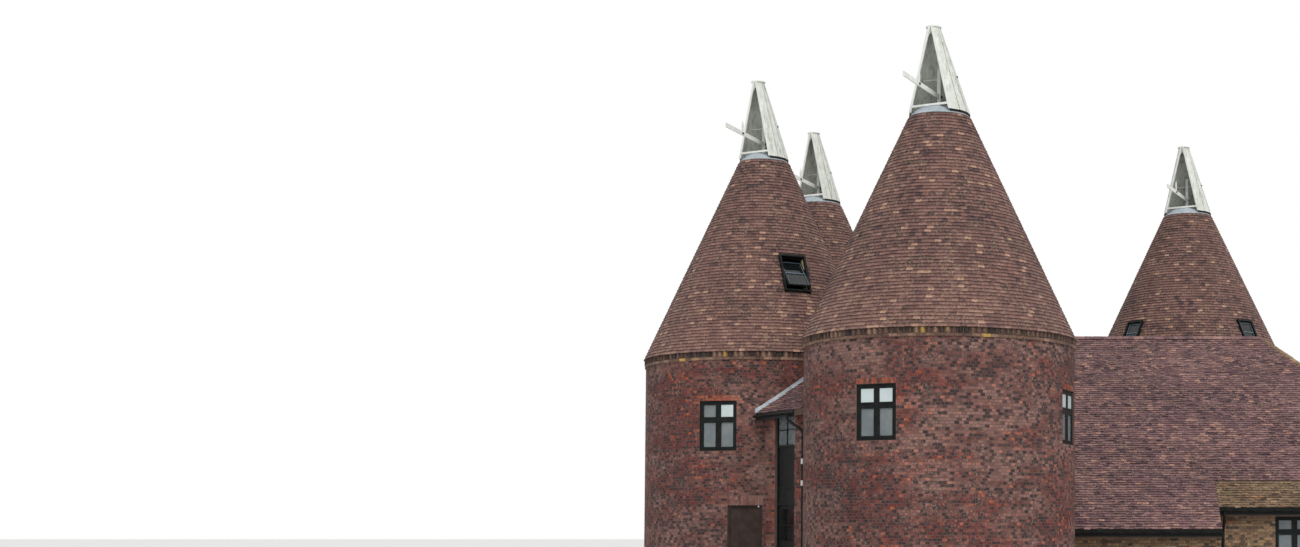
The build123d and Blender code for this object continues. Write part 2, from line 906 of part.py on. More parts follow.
def make_cowl_mouth(cowl):
    """The boards that frame the mouth, the sill between them and the board that caps the top."""
    half_foot = cowl.radius * sin(radians(mouth_spread)) + mouth_lap
    half_top = mouth_top_width / 2 + mouth_lap
    face = cowl.mouth_face
    height = cowl_height * face.y_dir.Z
    slant = (half_foot - half_top) / height
    sill_foot = curb_height - cowl_lift + sill_clearance
    with BuildPart() as mouth:
        for side in (-1, 1):
            with BuildSketch(face.offset(fit_gap)):
                with BuildLine():
                    Polyline(
                        (side * half_foot, 0),
                        (side * (half_foot - mouth_board), 0),
                        (side * (half_top - mouth_board), height),
                        (side * half_top, height),
                        close=True,
                    )
                make_face()
            extrude(amount=mouth_board_thickness)
        with BuildSketch(face.offset(fit_gap)):
            with BuildLine():
                ends = [
                    (level, half_foot - mouth_board - fit_gap - slant * level)
                    for level in (sill_foot, sill_foot + sill_board)
                ]
                (low, low_half), (high, high_half) = ends
                Polyline(
                    (-low_half, low), (low_half, low), (high_half, high), (-high_half, high), close=True
                )
            make_face()
        extrude(amount=mouth_board_thickness)
        with BuildSketch(cowl.plane(cowl.top_z + fit_gap)):
            with Locations((cowl_lean, 0)):
                RegularPolygon(cowl_top_radius + cap_overhang, cowl_sides)
        extrude(amount=cap_thickness)
    write(mouth.part, f"{cowl.kiln.name}_cowl_mouth")


def tie_bar(cowl):
    """The bar that the cowl hangs by. It ends at the inner faces of the boards."""
    with BuildPart() as bar:
        with BuildSketch(cowl.side_plane(-cowl.radius)):
            with Locations((0, cowl.base_z + tie_height)):
                Circle(tie_radius)
        extrude(amount=2 * cowl.radius)
        add(cowl.body(cowl_board + 2 * fit_gap), mode=Mode.INTERSECT)
    return bar.part


def make_cowl_vane(cowl):
    """The centre post with its pin, the tie bar through it, and the vane arm with its finial."""
    side = cowl.side_plane()
    foot = cone_top_height - beam_drop + fit_gap
    arm_foot = cowl.base_z + vane_height
    rise = tan(radians(vane_rise))
    finial_foot = arm_foot + vane_depth + finial_place * rise
    with BuildPart() as vane:
        with BuildSketch(cowl.plane(foot)):
            Rectangle(post_size, post_size)
        extrude(amount=cowl.base_z + post_height - foot)
        with BuildSketch(cowl.plane(foot - pivot_depth + 2 * fit_gap)):
            Circle(pivot_radius)
        extrude(amount=pivot_depth)
        add(tie_bar(cowl))
        with BuildSketch(side):
            with BuildLine():
                Polyline(
                    (0, arm_foot),
                    (vane_length, arm_foot + vane_length * rise),
                    (vane_length, arm_foot + vane_length * rise + vane_depth),
                    (0, arm_foot + vane_depth),
                    close=True,
                )
            make_face()
        extrude(amount=vane_thickness / 2, both=True)
        with BuildSketch(side):
            with BuildLine():
                Polyline(
                    (finial_place - finial_width / 4, finial_foot - vane_thickness),
                    (finial_place + finial_width / 4, finial_foot - vane_thickness),
                    (finial_place + finial_width / 2, finial_foot + finial_height / 2),
                    (finial_place, finial_foot + finial_height),
                    (finial_place - finial_width / 2, finial_foot + finial_height / 2),
                    close=True,
                )
            make_face()
        extrude(amount=vane_thickness / 3, both=True)
    write(vane.part, f"{cowl.kiln.name}_cowl_vane")


# Lobby: a wall across the corner between the front and left kilns, and a roof that rises inwards
lobby_left = left_kiln.point(lobby_left_azimuth, left_kiln.radius)
lobby_right = front_kiln.point(lobby_right_azimuth, front_kiln.radius)
lobby_length = (lobby_right - lobby_left).length
lobby_along = (lobby_right - lobby_left).normalized()
lobby_out = Vector(lobby_along.Y, -lobby_along.X, 0)
lobby_face = Plane(origin=lobby_left, x_dir=lobby_along, z_dir=lobby_out)
lobby_slope = tan(radians(lobby_pitch))
lobby_drop = lobby_roof_thickness / cos(radians(lobby_pitch))


def lobby_section(along):
    """The upright plane across the lobby's wall: its x runs inwards, its y up."""
    return Plane(origin=lobby_left + lobby_along * along, x_dir=-lobby_out, z_dir=lobby_along)


def lobby_roof_cut():
    """All that lies over the underside of the lobby's roof."""
    far = 3000
    eaves = lobby_eaves_height - lobby_drop
    with BuildPart() as over:
        with BuildSketch(lobby_section(-far)):
            with BuildLine():
                Polyline(
                    (-lobby_overhang - far, eaves - far * lobby_slope),
                    (far, eaves + (far + lobby_overhang) * lobby_slope),
                    (far, eaves + 2 * far),
                    (-lobby_overhang - far, eaves + 2 * far),
                    close=True,
                )
            make_face()
        extrude(amount=lobby_length + 2 * far)
    return over.part


def cut_front_kilns():
    for kiln in (front_kiln, left_kiln):
        add(kiln_envelope(kiln), mode=Mode.SUBTRACT)


def make_lobby():
    reach = 400
    inner = -lobby_wall_thickness
    roof_back = lobby_eaves_height + (lobby_depth + lobby_overhang) * lobby_slope
    with BuildPart() as lobby_walls:
        for left, right in (
            (-reach, screen_start),
            (screen_start + screen_width, lobby_length + reach),
        ):
            with BuildSketch(lobby_face):
                with Locations(((left + right) / 2, lobby_eaves_height / 2)):
                    Rectangle(right - left, lobby_eaves_height)
            extrude(amount=inner)
        add(lobby_roof_cut(), mode=Mode.SUBTRACT)
        cut_front_kilns()
    write(lobby_walls.part, "lobby_walls")

    with BuildPart() as lobby_back_wall:
        with BuildSketch(lobby_face.offset(-lobby_depth - fit_gap)):
            bottom = passage_roof_top + fit_gap
            top = roof_back + lobby_parapet
            with Locations((lobby_length / 2, (bottom + top) / 2)):
                Rectangle(lobby_length + 2 * reach, top - bottom)
        extrude(amount=-lobby_back_thickness)
        cut_front_kilns()
    write(lobby_back_wall.part, "lobby_back_wall")

    with BuildPart() as lobby_roof:
        with BuildSketch(lobby_section(-reach)):
            with BuildLine():
                Polyline(
                    (-lobby_overhang, lobby_eaves_height - lobby_drop),
                    (-lobby_overhang, lobby_eaves_height),
                    (lobby_depth, roof_back),
                    (lobby_depth, roof_back - lobby_drop),
                    close=True,
                )
            make_face()
        extrude(amount=lobby_length + 2 * reach)
        cut_front_kilns()
    write(lobby_roof.part, "lobby_roof")

    with BuildPart() as passage:
        roof_corners = [
            lobby_left - lobby_out * lobby_depth,
            lobby_right - lobby_out * lobby_depth,
            Vector(barn_left - fit_gap, front_kiln.y),
            Vector(barn_left - fit_gap, left_kiln.y),
            Vector(left_kiln.x, left_kiln.y),
        ]
        with BuildSketch(Plane.XY.offset(passage_roof_top - passage_roof_thickness)):
            with BuildLine():
                Polyline(*roof_corners, close=True)
            make_face()
        extrude(amount=passage_roof_thickness)
        cut_front_kilns()
    write(passage.part, "passage_roof")

    with BuildPart() as lobby_floor:
        floor_corners = [
            lobby_left,
            lobby_right,
            Vector(barn_left - fit_gap, front_kiln.y),
            Vector(barn_left - fit_gap, left_kiln.y),
            Vector(left_kiln.x, left_kiln.y),
        ]
        with BuildSketch(Plane.XY):
            with BuildLine():
                Polyline(*floor_corners, close=True)
            make_face()
        extrude(amount=floor_top)
        for left, right in (
            (-reach, screen_start),
            (screen_start + screen_width, lobby_length + reach),
        ):
            with BuildSketch(lobby_face):
                with Locations(((left + right) / 2, 0)):
                    Rectangle(right - left + 2 * fit_gap, 3 * floor_top)
            extrude(amount=inner - fit_gap, mode=Mode.SUBTRACT)
        cut_front_kilns()
    write(lobby_floor.part, "lobby_floor")


def pane_grid(width, height, columns, rows, bar):
    """The panes between glazing bars as (x, y, width, height) about the middle of the opening."""
    pane_width = (width - (columns - 1) * bar) / columns
    pane_height = (height - (rows - 1) * bar) / rows
    return [
        (
            (i - (columns - 1) / 2) * (pane_width + bar),
            (j - (rows - 1) / 2) * (pane_height + bar),
            pane_width,
            pane_height,
        )
        for i in range(columns)
        for j in range(rows)
    ]


def rectangles(panes, centre, margin=0.0, mode=Mode.ADD):
    for x, y, width, height in panes:
        with Locations((centre[0] + x, centre[1] + y)):
            Rectangle(width - 2 * margin, height - 2 * margin, mode=mode)


# The black screen of the lobby: a window over boarded panels, over the door
screen_face = lobby_face.offset(-screen_inset)
screen_middle = screen_start + screen_width / 2
screen_opening = screen_width - 2 * fit_gap - 2 * screen_member
screen_window = (screen_middle, (screen_head + screen_sill) / 2)
screen_panes = pane_grid(screen_opening, screen_head - screen_sill, 2, 2, glazing_bar)
panel_low = lobby_door_head + screen_member
panel_high = screen_sill - screen_member
screen_panels = [
    (panel_low, panel_middle - screen_member / 2),
    (panel_middle + screen_member / 2, panel_high),
]


def make_lobby_screen():
    top = lobby_eaves_height + lobby_overhang
    with BuildPart() as screen:
        with BuildSketch(screen_face):
            with Locations((screen_middle, (lobby_door_head + top) / 2)):
                Rectangle(screen_width - 2 * fit_gap, top - lobby_door_head)
            rectangles(screen_panes, screen_window, mode=Mode.SUBTRACT)
            for low, high in screen_panels:
                with Locations((screen_middle, (low + high) / 2)):
                    Rectangle(screen_opening, high - low, mode=Mode.SUBTRACT)
        extrude(amount=-screen_depth)
        with BuildSketch(screen_face.offset(-(screen_depth - panel_thickness) / 2)):
            for low, high in screen_panels:
                with Locations((screen_middle, (low + high) / 2)):
                    Rectangle(screen_opening, high - low)
        extrude(amount=-panel_thickness)
        jamb_foot = floor_top + fit_gap
        jamb_top = lobby_door_head - fit_gap
        with BuildSketch(screen_face):
            for side in (-1, 1):
                x = screen_middle + side * (screen_opening + screen_member) / 2
                with Locations((x, (jamb_foot + jamb_top) / 2)):
                    Rectangle(screen_member, jamb_top - jamb_foot)
        extrude(amount=-screen_depth)
        add(lobby_roof_cut(), mode=Mode.SUBTRACT)
    write(screen.part, "lobby_screen")


# Doors
kiln_door_azimuth, kiln_door_head = left_kiln.doors[0]
kiln_door_face = left_kiln.facing(kiln_door_azimuth, left_kiln.radius - window_recess)
kiln_door_opening = doorway_width - 2 * fit_gap - 2 * door_frame_member


def shifted(plane, x):
    return Plane(origin=plane.origin + plane.x_dir * x, x_dir=plane.x_dir, z_dir=plane.z_dir)


@dataclass
class Door:
    """A hinged door. Its plane is the frame's inner face, at the middle of the opening."""

    name: str
    plane: Plane
    opening: float
    head: float
    glazing_foot: float = 0.0

    @property
    def foot(self):
        return floor_top + door_clearance

    @property
    def hinge_heights(self):
        return (self.foot + hinge_from_end, self.head - hinge_from_end)

    @property
    def axis_x(self):
        return -self.opening / 2 + door_clearance / 2

    @property
    def axis_depth(self):
        return hinge_knuckle_radius + 1

    def level(self, z):
        """A level plane at this height: its x runs along the door, its y inwards."""
        origin = self.plane.origin + Vector(0, 0, z - self.plane.origin.Z)
        return Plane(origin=origin, x_dir=self.plane.x_dir, z_dir=(0, 0, 1))


lobby_door = Door(
    "lobby_door",
    shifted(screen_face.offset(-screen_depth), screen_middle),
    screen_opening,
    lobby_door_head,
    door_glazing_foot,
)
kiln_door = Door(
    "kiln_door", kiln_door_face.offset(-frame_depth), kiln_door_opening, doorway_head - door_frame_member
)
doors = [lobby_door, kiln_door]


def door_panes(door):
    width = door.opening - 2 * door_clearance - 2 * door_stile
    top = door.head - door_clearance - door_stile
    centre = (0, (top + door.glazing_foot) / 2)
    return pane_grid(width, top - door.glazing_foot, 2, 2, glazing_bar), centre


def knuckle(door, low, high):
    with BuildSketch(door.level(low)) as ring:
        with Locations((door.axis_x, door.axis_depth)):
            Circle(hinge_knuckle_radius)
    extrude(ring.sketch, amount=high - low)


def hinge_leaf(door, low, high, near, far, lift=0.0):
    with BuildSketch(door.level(low)) as plate:
        with Locations((door.axis_x + (near + far) / 2, lift + hinge_stand / 2)):
            Rectangle(abs(far - near), hinge_stand)
    extrude(plate.sketch, amount=high - low)


def make_door(door):
    width = door.opening - 2 * door_clearance
    top = door.head - door_clearance
    half = hinge_height / 5
    pin_hole = hinge_pin_radius + fit_gap
    with BuildPart() as leaf:
        with BuildSketch(door.plane):
            with Locations((0, (door.foot + top) / 2)):
                Rectangle(width, top - door.foot)
            if door.glazing_foot:
                panes, centre = door_panes(door)
                rectangles(panes, centre, mode=Mode.SUBTRACT)
        extrude(amount=door_thickness)
        for z in door.hinge_heights:
            knuckle(door, z - half, z + half)
            hinge_leaf(door, z - half, z + half, 0, hinge_leaf_width)
            with BuildSketch(door.level(z - half)):
                with Locations((door.axis_x, door.axis_depth)):
                    Circle(pin_hole)
            extrude(amount=2 * half, mode=Mode.SUBTRACT)
    write(leaf.part, door.name)
    if door.glazing_foot:
        with BuildPart() as glass:
            with BuildSketch(door.plane.offset((door_thickness - glass_thickness) / 2)):
                rectangles(panes, centre, fit_gap)
            extrude(amount=glass_thickness)
        write(glass.part, f"{door.name}_glass")


def make_door_hinges():
    """The halves of the hinges that stay on the frames, each with its pin."""
    outer = hinge_height / 2
    inner = hinge_height / 5 + 2 * fit_gap
    with BuildPart() as hinges:
        for door in doors:
            for z in door.hinge_heights:
                for low, high in ((z - outer, z - inner), (z + inner, z + outer)):
                    knuckle(door, low, high)
                    hinge_leaf(door, low, high, -hinge_leaf_width, 0, fit_gap)
                hinge_leaf(
                    door,
                    z - outer,
                    z + outer,
                    -hinge_leaf_width,
                    -1.5 * hinge_knuckle_radius,
                    fit_gap,
                )
                with BuildSketch(door.level(z - outer)):
                    with Locations((door.axis_x, door.axis_depth)):
                        Circle(hinge_pin_radius)
                extrude(amount=2 * outer)
    write(hinges.part, "door_hinges")


def make_kiln_door_frame():
    foot = floor_top + fit_gap
    with BuildPart() as kiln_door_frame:
        with BuildSketch(kiln_door_face):
            for side in (-1, 1):
                x = side * (kiln_door_opening + door_frame_member) / 2
                top = kiln_door.head - fit_gap
                with Locations((x, (foot + top) / 2)):
                    Rectangle(door_frame_member, top - foot)
            with Locations((0, doorway_head - fit_gap - door_frame_member / 2 + fit_gap / 2)):
                Rectangle(doorway_width - 2 * fit_gap, door_frame_member - fit_gap)
        extrude(amount=-frame_depth)
    write(kiln_door_frame.part, "kiln_door_frame")


# Windows and rooflights
def make_windows():
    kiln_planes = [
        kiln_window_plane(kiln, azimuth) for kiln in kilns for azimuth in kiln.windows
    ]
    kiln_size = (window_width, window_head - window_sill)
    barn_size = (barn_window_width, barn_window_height)
    with BuildPart() as frames:
        for plane in kiln_planes:
            add(window_frame(plane, *kiln_size))
        for plane in barn_windows():
            add(window_frame(plane, *barn_size))
    write(frames.part, "window_frames")
    with BuildPart() as glass:
        for plane in kiln_planes:
            add(window_glass(plane, *kiln_size))
        for plane in barn_windows():
            add(window_glass(plane, *barn_size))
        with BuildSketch(screen_face.offset(-(screen_depth - glass_thickness) / 2)):
            rectangles(screen_panes, screen_window, fit_gap)
        extrude(amount=-glass_thickness)
    write(glass.part, "window_glass")


def make_rooflights():
    """Frames let into the cones, and sashes that pivot at the middle of their sides."""
    planes = [
        (rooflight_plane(kiln, azimuth, z), width, length, opened)
        for kiln, opened in ((left_kiln, sash_opening), (right_kiln, 0.0))
        for azimuth, z, width, length in kiln.rooflights
    ]
    with BuildPart() as frames:
        for plane, width, length, _ in planes:
            with BuildSketch(plane.offset(rooflight_stand - rooflight_depth)):
                Rectangle(width, length)
                Rectangle(
                    width - 2 * rooflight_member, length - 2 * rooflight_member, mode=Mode.SUBTRACT
                )
            extrude(amount=rooflight_depth)
    write(frames.part, "rooflight_frames")
    with BuildPart() as sashes:
        for plane, width, length, opened in planes:
            add(rooflight_sash(plane, width, length, opened, frame=True))
    write(sashes.part, "rooflight_sashes")
    with BuildPart() as panes:
        for plane, width, length, opened in planes:
            add(rooflight_sash(plane, width, length, opened, frame=False))
    write(panes.part, "rooflight_glass")


def rooflight_sash(plane, width, length, opened, frame):
    """One sash or its pane, turned about the level line through its middle."""
    sash_width = width - 2 * rooflight_member - 2 * fit_gap
    sash_length = length - 2 * rooflight_member - 2 * sash_clearance
    pivot = Axis(plane.origin, plane.x_dir)
    turned = Plane(
        origin=plane.origin, x_dir=plane.x_dir, z_dir=plane.z_dir.rotate(pivot, -opened)
    )
    margin = 0 if frame else fit_gap
    with BuildPart() as sash:
        with BuildSketch(turned.offset(-sash_depth / 2)):
            if frame:
                Rectangle(sash_width, sash_length)
            Rectangle(
                sash_width - 2 * sash_member - 2 * margin,
                sash_length - 2 * sash_member - 2 * margin,
                mode=Mode.SUBTRACT if frame else Mode.ADD,
            )
        extrude(amount=sash_depth if frame else glass_thickness)
    return sash.part


# Gutters and downpipes
def add_gutter(start, end, out, height):
    """A fascia and a half-round gutter along an eaves. The line is the roof's lower edge."""
    along = (end - start).normalized()
    plane = Plane(origin=(start.X, start.Y, height), x_dir=out, z_dir=-along)
    middle = fascia_thickness + gutter_radius + 3 * fit_gap
    with BuildSketch(plane) as channel:
        with Locations((middle, -gutter_drop)):
            Circle(gutter_radius)
            Circle(gutter_radius - gutter_wall, mode=Mode.SUBTRACT)
            Rectangle(
                3 * gutter_radius,
                3 * gutter_radius,
                align=(Align.CENTER, Align.MIN),
                mode=Mode.SUBTRACT,
            )
    extrude(channel.sketch, amount=-(end - start).length)


def add_fascia(start, end, out, height):
    along = (end - start).normalized()
    plane = Plane(origin=(start.X, start.Y, height), x_dir=out, z_dir=-along)
    with BuildSketch(plane) as board:
        with Locations((fit_gap + fascia_thickness / 2, -fascia_depth / 2)):
            Rectangle(fascia_thickness, fascia_depth)
    extrude(board.sketch, amount=-(end - start).length)


lobby_eaves_left = lobby_left + lobby_out * lobby_overhang + lobby_along * lobby_gutter_start
lobby_eaves_right = lobby_left + lobby_out * lobby_overhang + lobby_along * lobby_gutter_end
catslide_start_x = sqrt(front_kiln_radius**2 - outshut_eaves_y**2) + 2 * gutter_radius
eaves_lines = [
    (lobby_eaves_left, lobby_eaves_right, lobby_out, lobby_eaves_height),
    (
        Vector(catslide_start_x, outshut_eaves_y),
        Vector(outshut_right, outshut_eaves_y),
        Vector(0, -1, 0),
        outshut_eaves_height,
    ),
    (
        Vector(outshut_right, front_eaves_y),
        Vector(hip_end_x, front_eaves_y),
        Vector(0, -1, 0),
        front_eaves_height,
    ),
    (
        Vector(hip_end_x, hip_corner_y),
        Vector(hip_end_x, back_eaves_y),
        Vector(1, 0, 0),
        back_eaves_height,
    ),
]


def make_gutters():
    with BuildPart() as fascias:
        for start, end, out, height in eaves_lines:
            add_fascia(start, end, out, height)
    write(fascias.part, "fascias")
    with BuildPart() as gutters:
        for start, end, out, height in eaves_lines:
            add_gutter(start, end, out, height)
    write(gutters.part, "gutters")


def add_downpipe(outlet, foot, out, neck, clips):
    """A round pipe from a gutter's outlet, back to the wall and down to the ground."""
    points = [
        outlet,
        Vector(outlet.X, outlet.Y, neck),
        Vector(foot.X, foot.Y, neck - pipe_swan_drop),
        foot,
    ]
    with BuildLine() as path:
        FilletPolyline(*points, radius=pipe_bend)
    with BuildSketch(Plane(origin=path.line @ 0, z_dir=path.line % 0)) as bore:
        Circle(pipe_radius)
    sweep(bore.sketch, path=path.line)
    for z in clips:
        with Locations(Plane(origin=(foot.X, foot.Y, z), x_dir=out, z_dir=(0, 0, 1))):
            Box(
                pipe_radius + pipe_clearance - fit_gap,
                pipe_radius,
                pipe_radius,
                align=(Align.MAX, Align.CENTER, Align.CENTER),
            )


def make_downpipes():
    gutter_out = fascia_thickness + gutter_radius + 3 * fit_gap
    stand = pipe_radius + pipe_clearance
    with BuildPart() as downpipes:
        start = lobby_left + lobby_along * lobby_outlet + lobby_out * (lobby_overhang + gutter_out)
        outlet_z = lobby_eaves_height - gutter_drop - gutter_radius - fit_gap
        foot = lobby_left + lobby_along * (lobby_length - lobby_pipe_inset) + lobby_out * stand
        add_downpipe(
            Vector(start.X, start.Y, outlet_z),
            Vector(foot.X, foot.Y, fit_gap),
            lobby_out,
            outlet_z - 1.5 * pipe_bend,
            pipe_clips,
        )
        x = outshut_right + 4 * pipe_radius
        outlet_z = front_eaves_height - gutter_drop - gutter_radius - fit_gap
        add_downpipe(
            Vector(x, front_eaves_y - gutter_out, outlet_z),
            Vector(x, front_wall_y - stand, fit_gap),
            Vector(0, -1, 0),
            front_eaves_height - roof_drop - 2 * pipe_radius,
            pipe_clips[:1],
        )
    write(downpipes.part, "downpipes")


for kiln in kilns:
    make_kiln_wall(kiln)
    make_kiln_roof(kiln)
    cowl = Cowl(kiln)
    make_cowl_boards(cowl)
    make_cowl_mouth(cowl)
    make_cowl_vane(cowl)
make_lead_curbs()
make_cowl_beams()
make_barn_roof()
make_barn_walls()
make_floors()
make_lobby()
make_lobby_screen()
for door in doors:
    make_door(door)
make_door_hinges()
make_kiln_door_frame()
make_windows()
make_rooflights()
make_gutters()
make_downpipes()
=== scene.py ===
# %% [markdown]
# # A brick oast house with four round kilns
#
# An oast house dries hops. The photograph shows four round kilns with white cowls, a small lobby
# between two of them, and the long tiled roof of the barn behind. The walls, roofs, doors and
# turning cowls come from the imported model. This script lays what a bricklayer, a tiler and a
# leadworker would add: each brick, each tile and each piece of lead is real geometry, because a
# bump map looks flat along the edge of a wall and in the exported mesh.

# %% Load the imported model
import math

import bmesh
import bpy
import numpy as np
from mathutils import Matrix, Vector


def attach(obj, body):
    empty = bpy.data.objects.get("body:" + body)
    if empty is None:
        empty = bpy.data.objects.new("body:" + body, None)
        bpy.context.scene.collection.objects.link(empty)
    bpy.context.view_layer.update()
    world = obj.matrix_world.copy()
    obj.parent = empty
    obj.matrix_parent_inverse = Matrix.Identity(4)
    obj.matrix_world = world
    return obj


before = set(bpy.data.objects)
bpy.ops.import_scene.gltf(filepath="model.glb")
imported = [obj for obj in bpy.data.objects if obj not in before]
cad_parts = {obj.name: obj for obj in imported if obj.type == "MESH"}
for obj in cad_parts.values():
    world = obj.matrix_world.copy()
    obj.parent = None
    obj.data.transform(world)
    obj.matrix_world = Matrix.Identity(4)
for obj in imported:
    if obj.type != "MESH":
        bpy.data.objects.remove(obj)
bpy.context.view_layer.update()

# %% [markdown]
# ## The sizes that the trades work to
#
# Everything is in metres, in the frame of the model. A kiln is given by the middle of its floor,
# its outer radius, the radius of the lead curb on top and where its windows are. Azimuths are in
# degrees from the front, towards the right, and the wind turns all four cowls to the same one.
# Writing these once keeps the bricks, the tiles and the lead of one kiln on the same circle.

# %% Sizes of the kilns
KILNS = {
    "front_kiln": dict(x=0.0, y=0.0, radius=3.46, curb=0.796, windows=(-24.5, 72.0)),
    "left_kiln": dict(x=-5.24, y=5.5, radius=3.3, curb=0.71, windows=(-14.0, -104.0)),
    "back_left_kiln": dict(x=-4.2846, y=11.970, radius=3.3, curb=0.71, windows=(-100.0, 170.0)),
    "right_kiln": dict(x=8.02, y=14.1, radius=3.46, curb=0.796, windows=(80.0, 170.0, -100.0)),
}
ROOFLIGHTS = {  # azimuth, height of the middle, width, length
    "left_kiln": ((29.3, 8.73, 0.78, 1.18),),
    "right_kiln": ((-48.0, 8.06, 0.66, 0.90), (38.0, 8.06, 0.66, 0.90)),
}
COWL_AZIMUTH = -26.0
EAVES, CONE_TOP, TILE_OVERHANG = 6.44, 12.24, 0.05
WINDOW_WIDTH, WINDOW_SILL, WINDOW_HEAD = 1.07, 3.76, 5.11
UP = Vector((0, 0, 1))
rng = np.random.default_rng(1867)


def facing(azimuth):
    """The level way out of a kiln at this azimuth, and the way to its right, seen from outside."""
    a = math.radians(azimuth)
    return Vector((math.sin(a), -math.cos(a), 0)), Vector((math.cos(a), math.sin(a), 0))


def around(kiln, azimuth, distance, z):
    """The point at this azimuth and distance from a kiln's axis."""
    a = math.radians(azimuth)
    return Vector((kiln["x"] + distance * math.sin(a), kiln["y"] - distance * math.cos(a), z))


def cone_radius(kiln, z):
    foot = kiln["radius"] + TILE_OVERHANG
    return foot - (foot - kiln["curb"]) * (z - EAVES) / (CONE_TOP - EAVES)


def inside_kiln(point, margin=0.0, leave_out=None):
    """True where a point lies inside the wall or the roof of a kiln."""
    for name, kiln in KILNS.items():
        reach = kiln["radius"] if point[2] < EAVES else cone_radius(kiln, point[2])
        distance = math.hypot(point[0] - kiln["x"], point[1] - kiln["y"])
        if name != leave_out and distance < reach + margin:
            return True
    return False


print(len(KILNS), "kilns, eaves at", EAVES, "m")

# %% [markdown]
# ## Helpers for materials
#
# Colours are written as they look on a screen, 0 to 255 a channel, and turned into the linear
# values that shader sockets take. A small bench adds nodes and joins them, so that each material
# reads as a short list of what goes into what.

# %% Colour and node helpers
def colour(*screen):
    """A screen colour as the linear value of a shader socket."""
    shares = [c / 255 for c in screen]
    return (*(c / 12.92 if c <= 0.04045 else ((c + 0.055) / 1.055) ** 2.4 for c in shares), 1.0)


class Bench:
    """Adds nodes to one node tree and joins them."""

    def __init__(self, tree):
        self.tree = tree

    def feed(self, socket, value):
        if isinstance(value, bpy.types.NodeSocket):
            self.tree.links.new(value, socket)
        else:
            socket.default_value = value

    def add(self, kind, feeds=(), **settings):
        """A new node. feeds gives an input a value, or the socket that it is joined to."""
        node = self.tree.nodes.new(kind)
        for key, value in settings.items():
            setattr(node, key, value)
        for key, value in dict(feeds).items():
            self.feed(node.inputs[key], value)
        return node

    def noise(self, vector, scale, detail=3.0, rough=0.55):
        feeds = {"Vector": vector, "Scale": scale, "Detail": detail, "Roughness": rough}
        return self.add("ShaderNodeTexNoise", feeds).outputs["Fac"]

    def scaled(self, vector, scale):
        return self.add("ShaderNodeMapping", {"Vector": vector, "Scale": scale}).outputs[0]

    def fit(self, value, low, high, to_low=0.0, to_high=1.0):
        feeds = {"Value": value, "From Min": low, "From Max": high}
        feeds.update({"To Min": to_low, "To Max": to_high})
        return self.add("ShaderNodeMapRange", feeds).outputs["Result"]

    def calc(self, operation, a, b):
        return self.add("ShaderNodeMath", {0: a, 1: b}, operation=operation).outputs[0]

    def times(self, a, b):
        return self.calc("MULTIPLY", a, b)

    def mix(self, factor, a, b, blend="MIX"):
        feeds = {0: factor, 6: a, 7: b}
        return self.add("ShaderNodeMix", feeds, data_type="RGBA", blend_type=blend).outputs[2]

    def vary(self, shade, mask, low, high):
        """Multiplies a colour by low where the mask is 0, and by high where it is 1."""
        return self.mix(1.0, shade, self.mix(mask, (*low, 1), (*high, 1)), "MULTIPLY")


print("mid grey is", round(colour(128, 128, 128)[0], 3), "as a linear value")

# %% A new node group
def new_group(name, takes, gives):
    """A node group. takes names its inputs: a number, a colour, or None for coordinates."""
    tree = bpy.data.node_groups.new(name, "ShaderNodeTree")
    for label, value in takes.items():
        kind = "Vector" if value is None else "Color" if isinstance(value, tuple) else "Float"
        socket = tree.interface.new_socket(label, in_out="INPUT", socket_type="NodeSocket" + kind)
        if value is not None:
            socket.default_value = value
    for label in gives:
        kind = "NodeSocketColor" if label == "Color" else "NodeSocketFloat"
        tree.interface.new_socket(label, in_out="OUTPUT", socket_type=kind)
    bench = Bench(tree)
    return bench, bench.add("NodeGroupInput").outputs, bench.add("NodeGroupOutput").inputs


print("group helper ready")

# %% [markdown]
# ## Fired clay
#
# Bricks and tiles come out of the kiln in many shades: blue-grey where they were burnt hard, then
# purple, red and orange. Each one has a single shade, so the mesh carries one number a piece, its
# tint, and this group turns the tint into one of five colours. A second number on the mesh paints
# shade where it falls, such as under the tail of the next tile. Over that lie what the weather
# does:
# fine mottling, broad soot, pale lichen, and bloom, where salts have come out of a wall and left
# long level patches of paler bricks. It could be painted on an image, but then each brick would
# need a place on it; two numbers and noise do the same at any size.

# %% The fired clay group
SHADES = ("Burnt", "Dark", "Middle", "Light", "Bright")
bench, takes, gives = new_group(
    "Fired clay",
    {
        "Coordinates": None, "Tint": 0.5, "Dirt": 0.0,
        **{shade: (0.2, 0.1, 0.08, 1) for shade in SHADES},
        "Lichen colour": (0.4, 0.4, 0.3, 1), "Lichen": 0.3, "Soot": 0.3, "Bloom": 0.0,
    },
    ("Color", "Roughness", "Height"),
)
place = takes["Coordinates"]
shade = takes["Burnt"]
for label, low, high in zip(SHADES[1:], (0.06, 0.22, 0.6, 0.93), (0.16, 0.45, 0.85, 0.95)):
    shade = bench.mix(bench.fit(takes["Tint"], low, high), shade, takes[label])
# painted shade: the mesh's second number darkens the corners where shade falls
dirt = bench.fit(takes["Dirt"], 0.25, 1.0, 0.0, 0.92)
shade = bench.mix(dirt, shade, (0.16, 0.14, 0.14, 1), "MULTIPLY")
fine = bench.noise(place, 55.0, 4.0, 0.65)
shade = bench.vary(shade, fine, (0.72, 0.72, 0.72), (1.25, 1.25, 1.25))
spots = bench.noise(place, 17.0, 6.0, 0.7)
shade = bench.vary(shade, bench.fit(spots, 0.36, 0.64), (0.66, 0.64, 0.64), (1.42, 1.4, 1.38))
soot = bench.times(bench.fit(bench.noise(place, 0.7, 5.0, 0.6), 0.42, 0.68), takes["Soot"])
shade = bench.mix(soot, shade, (0.45, 0.42, 0.42, 1), "MULTIPLY")
level = bench.noise(bench.scaled(place, (0.5, 0.5, 1.6)), 1.0, 6.0, 0.65)
bloom = bench.times(bench.fit(level, 0.43, 0.60), bench.fit(takes["Tint"], 0.05, 0.60))
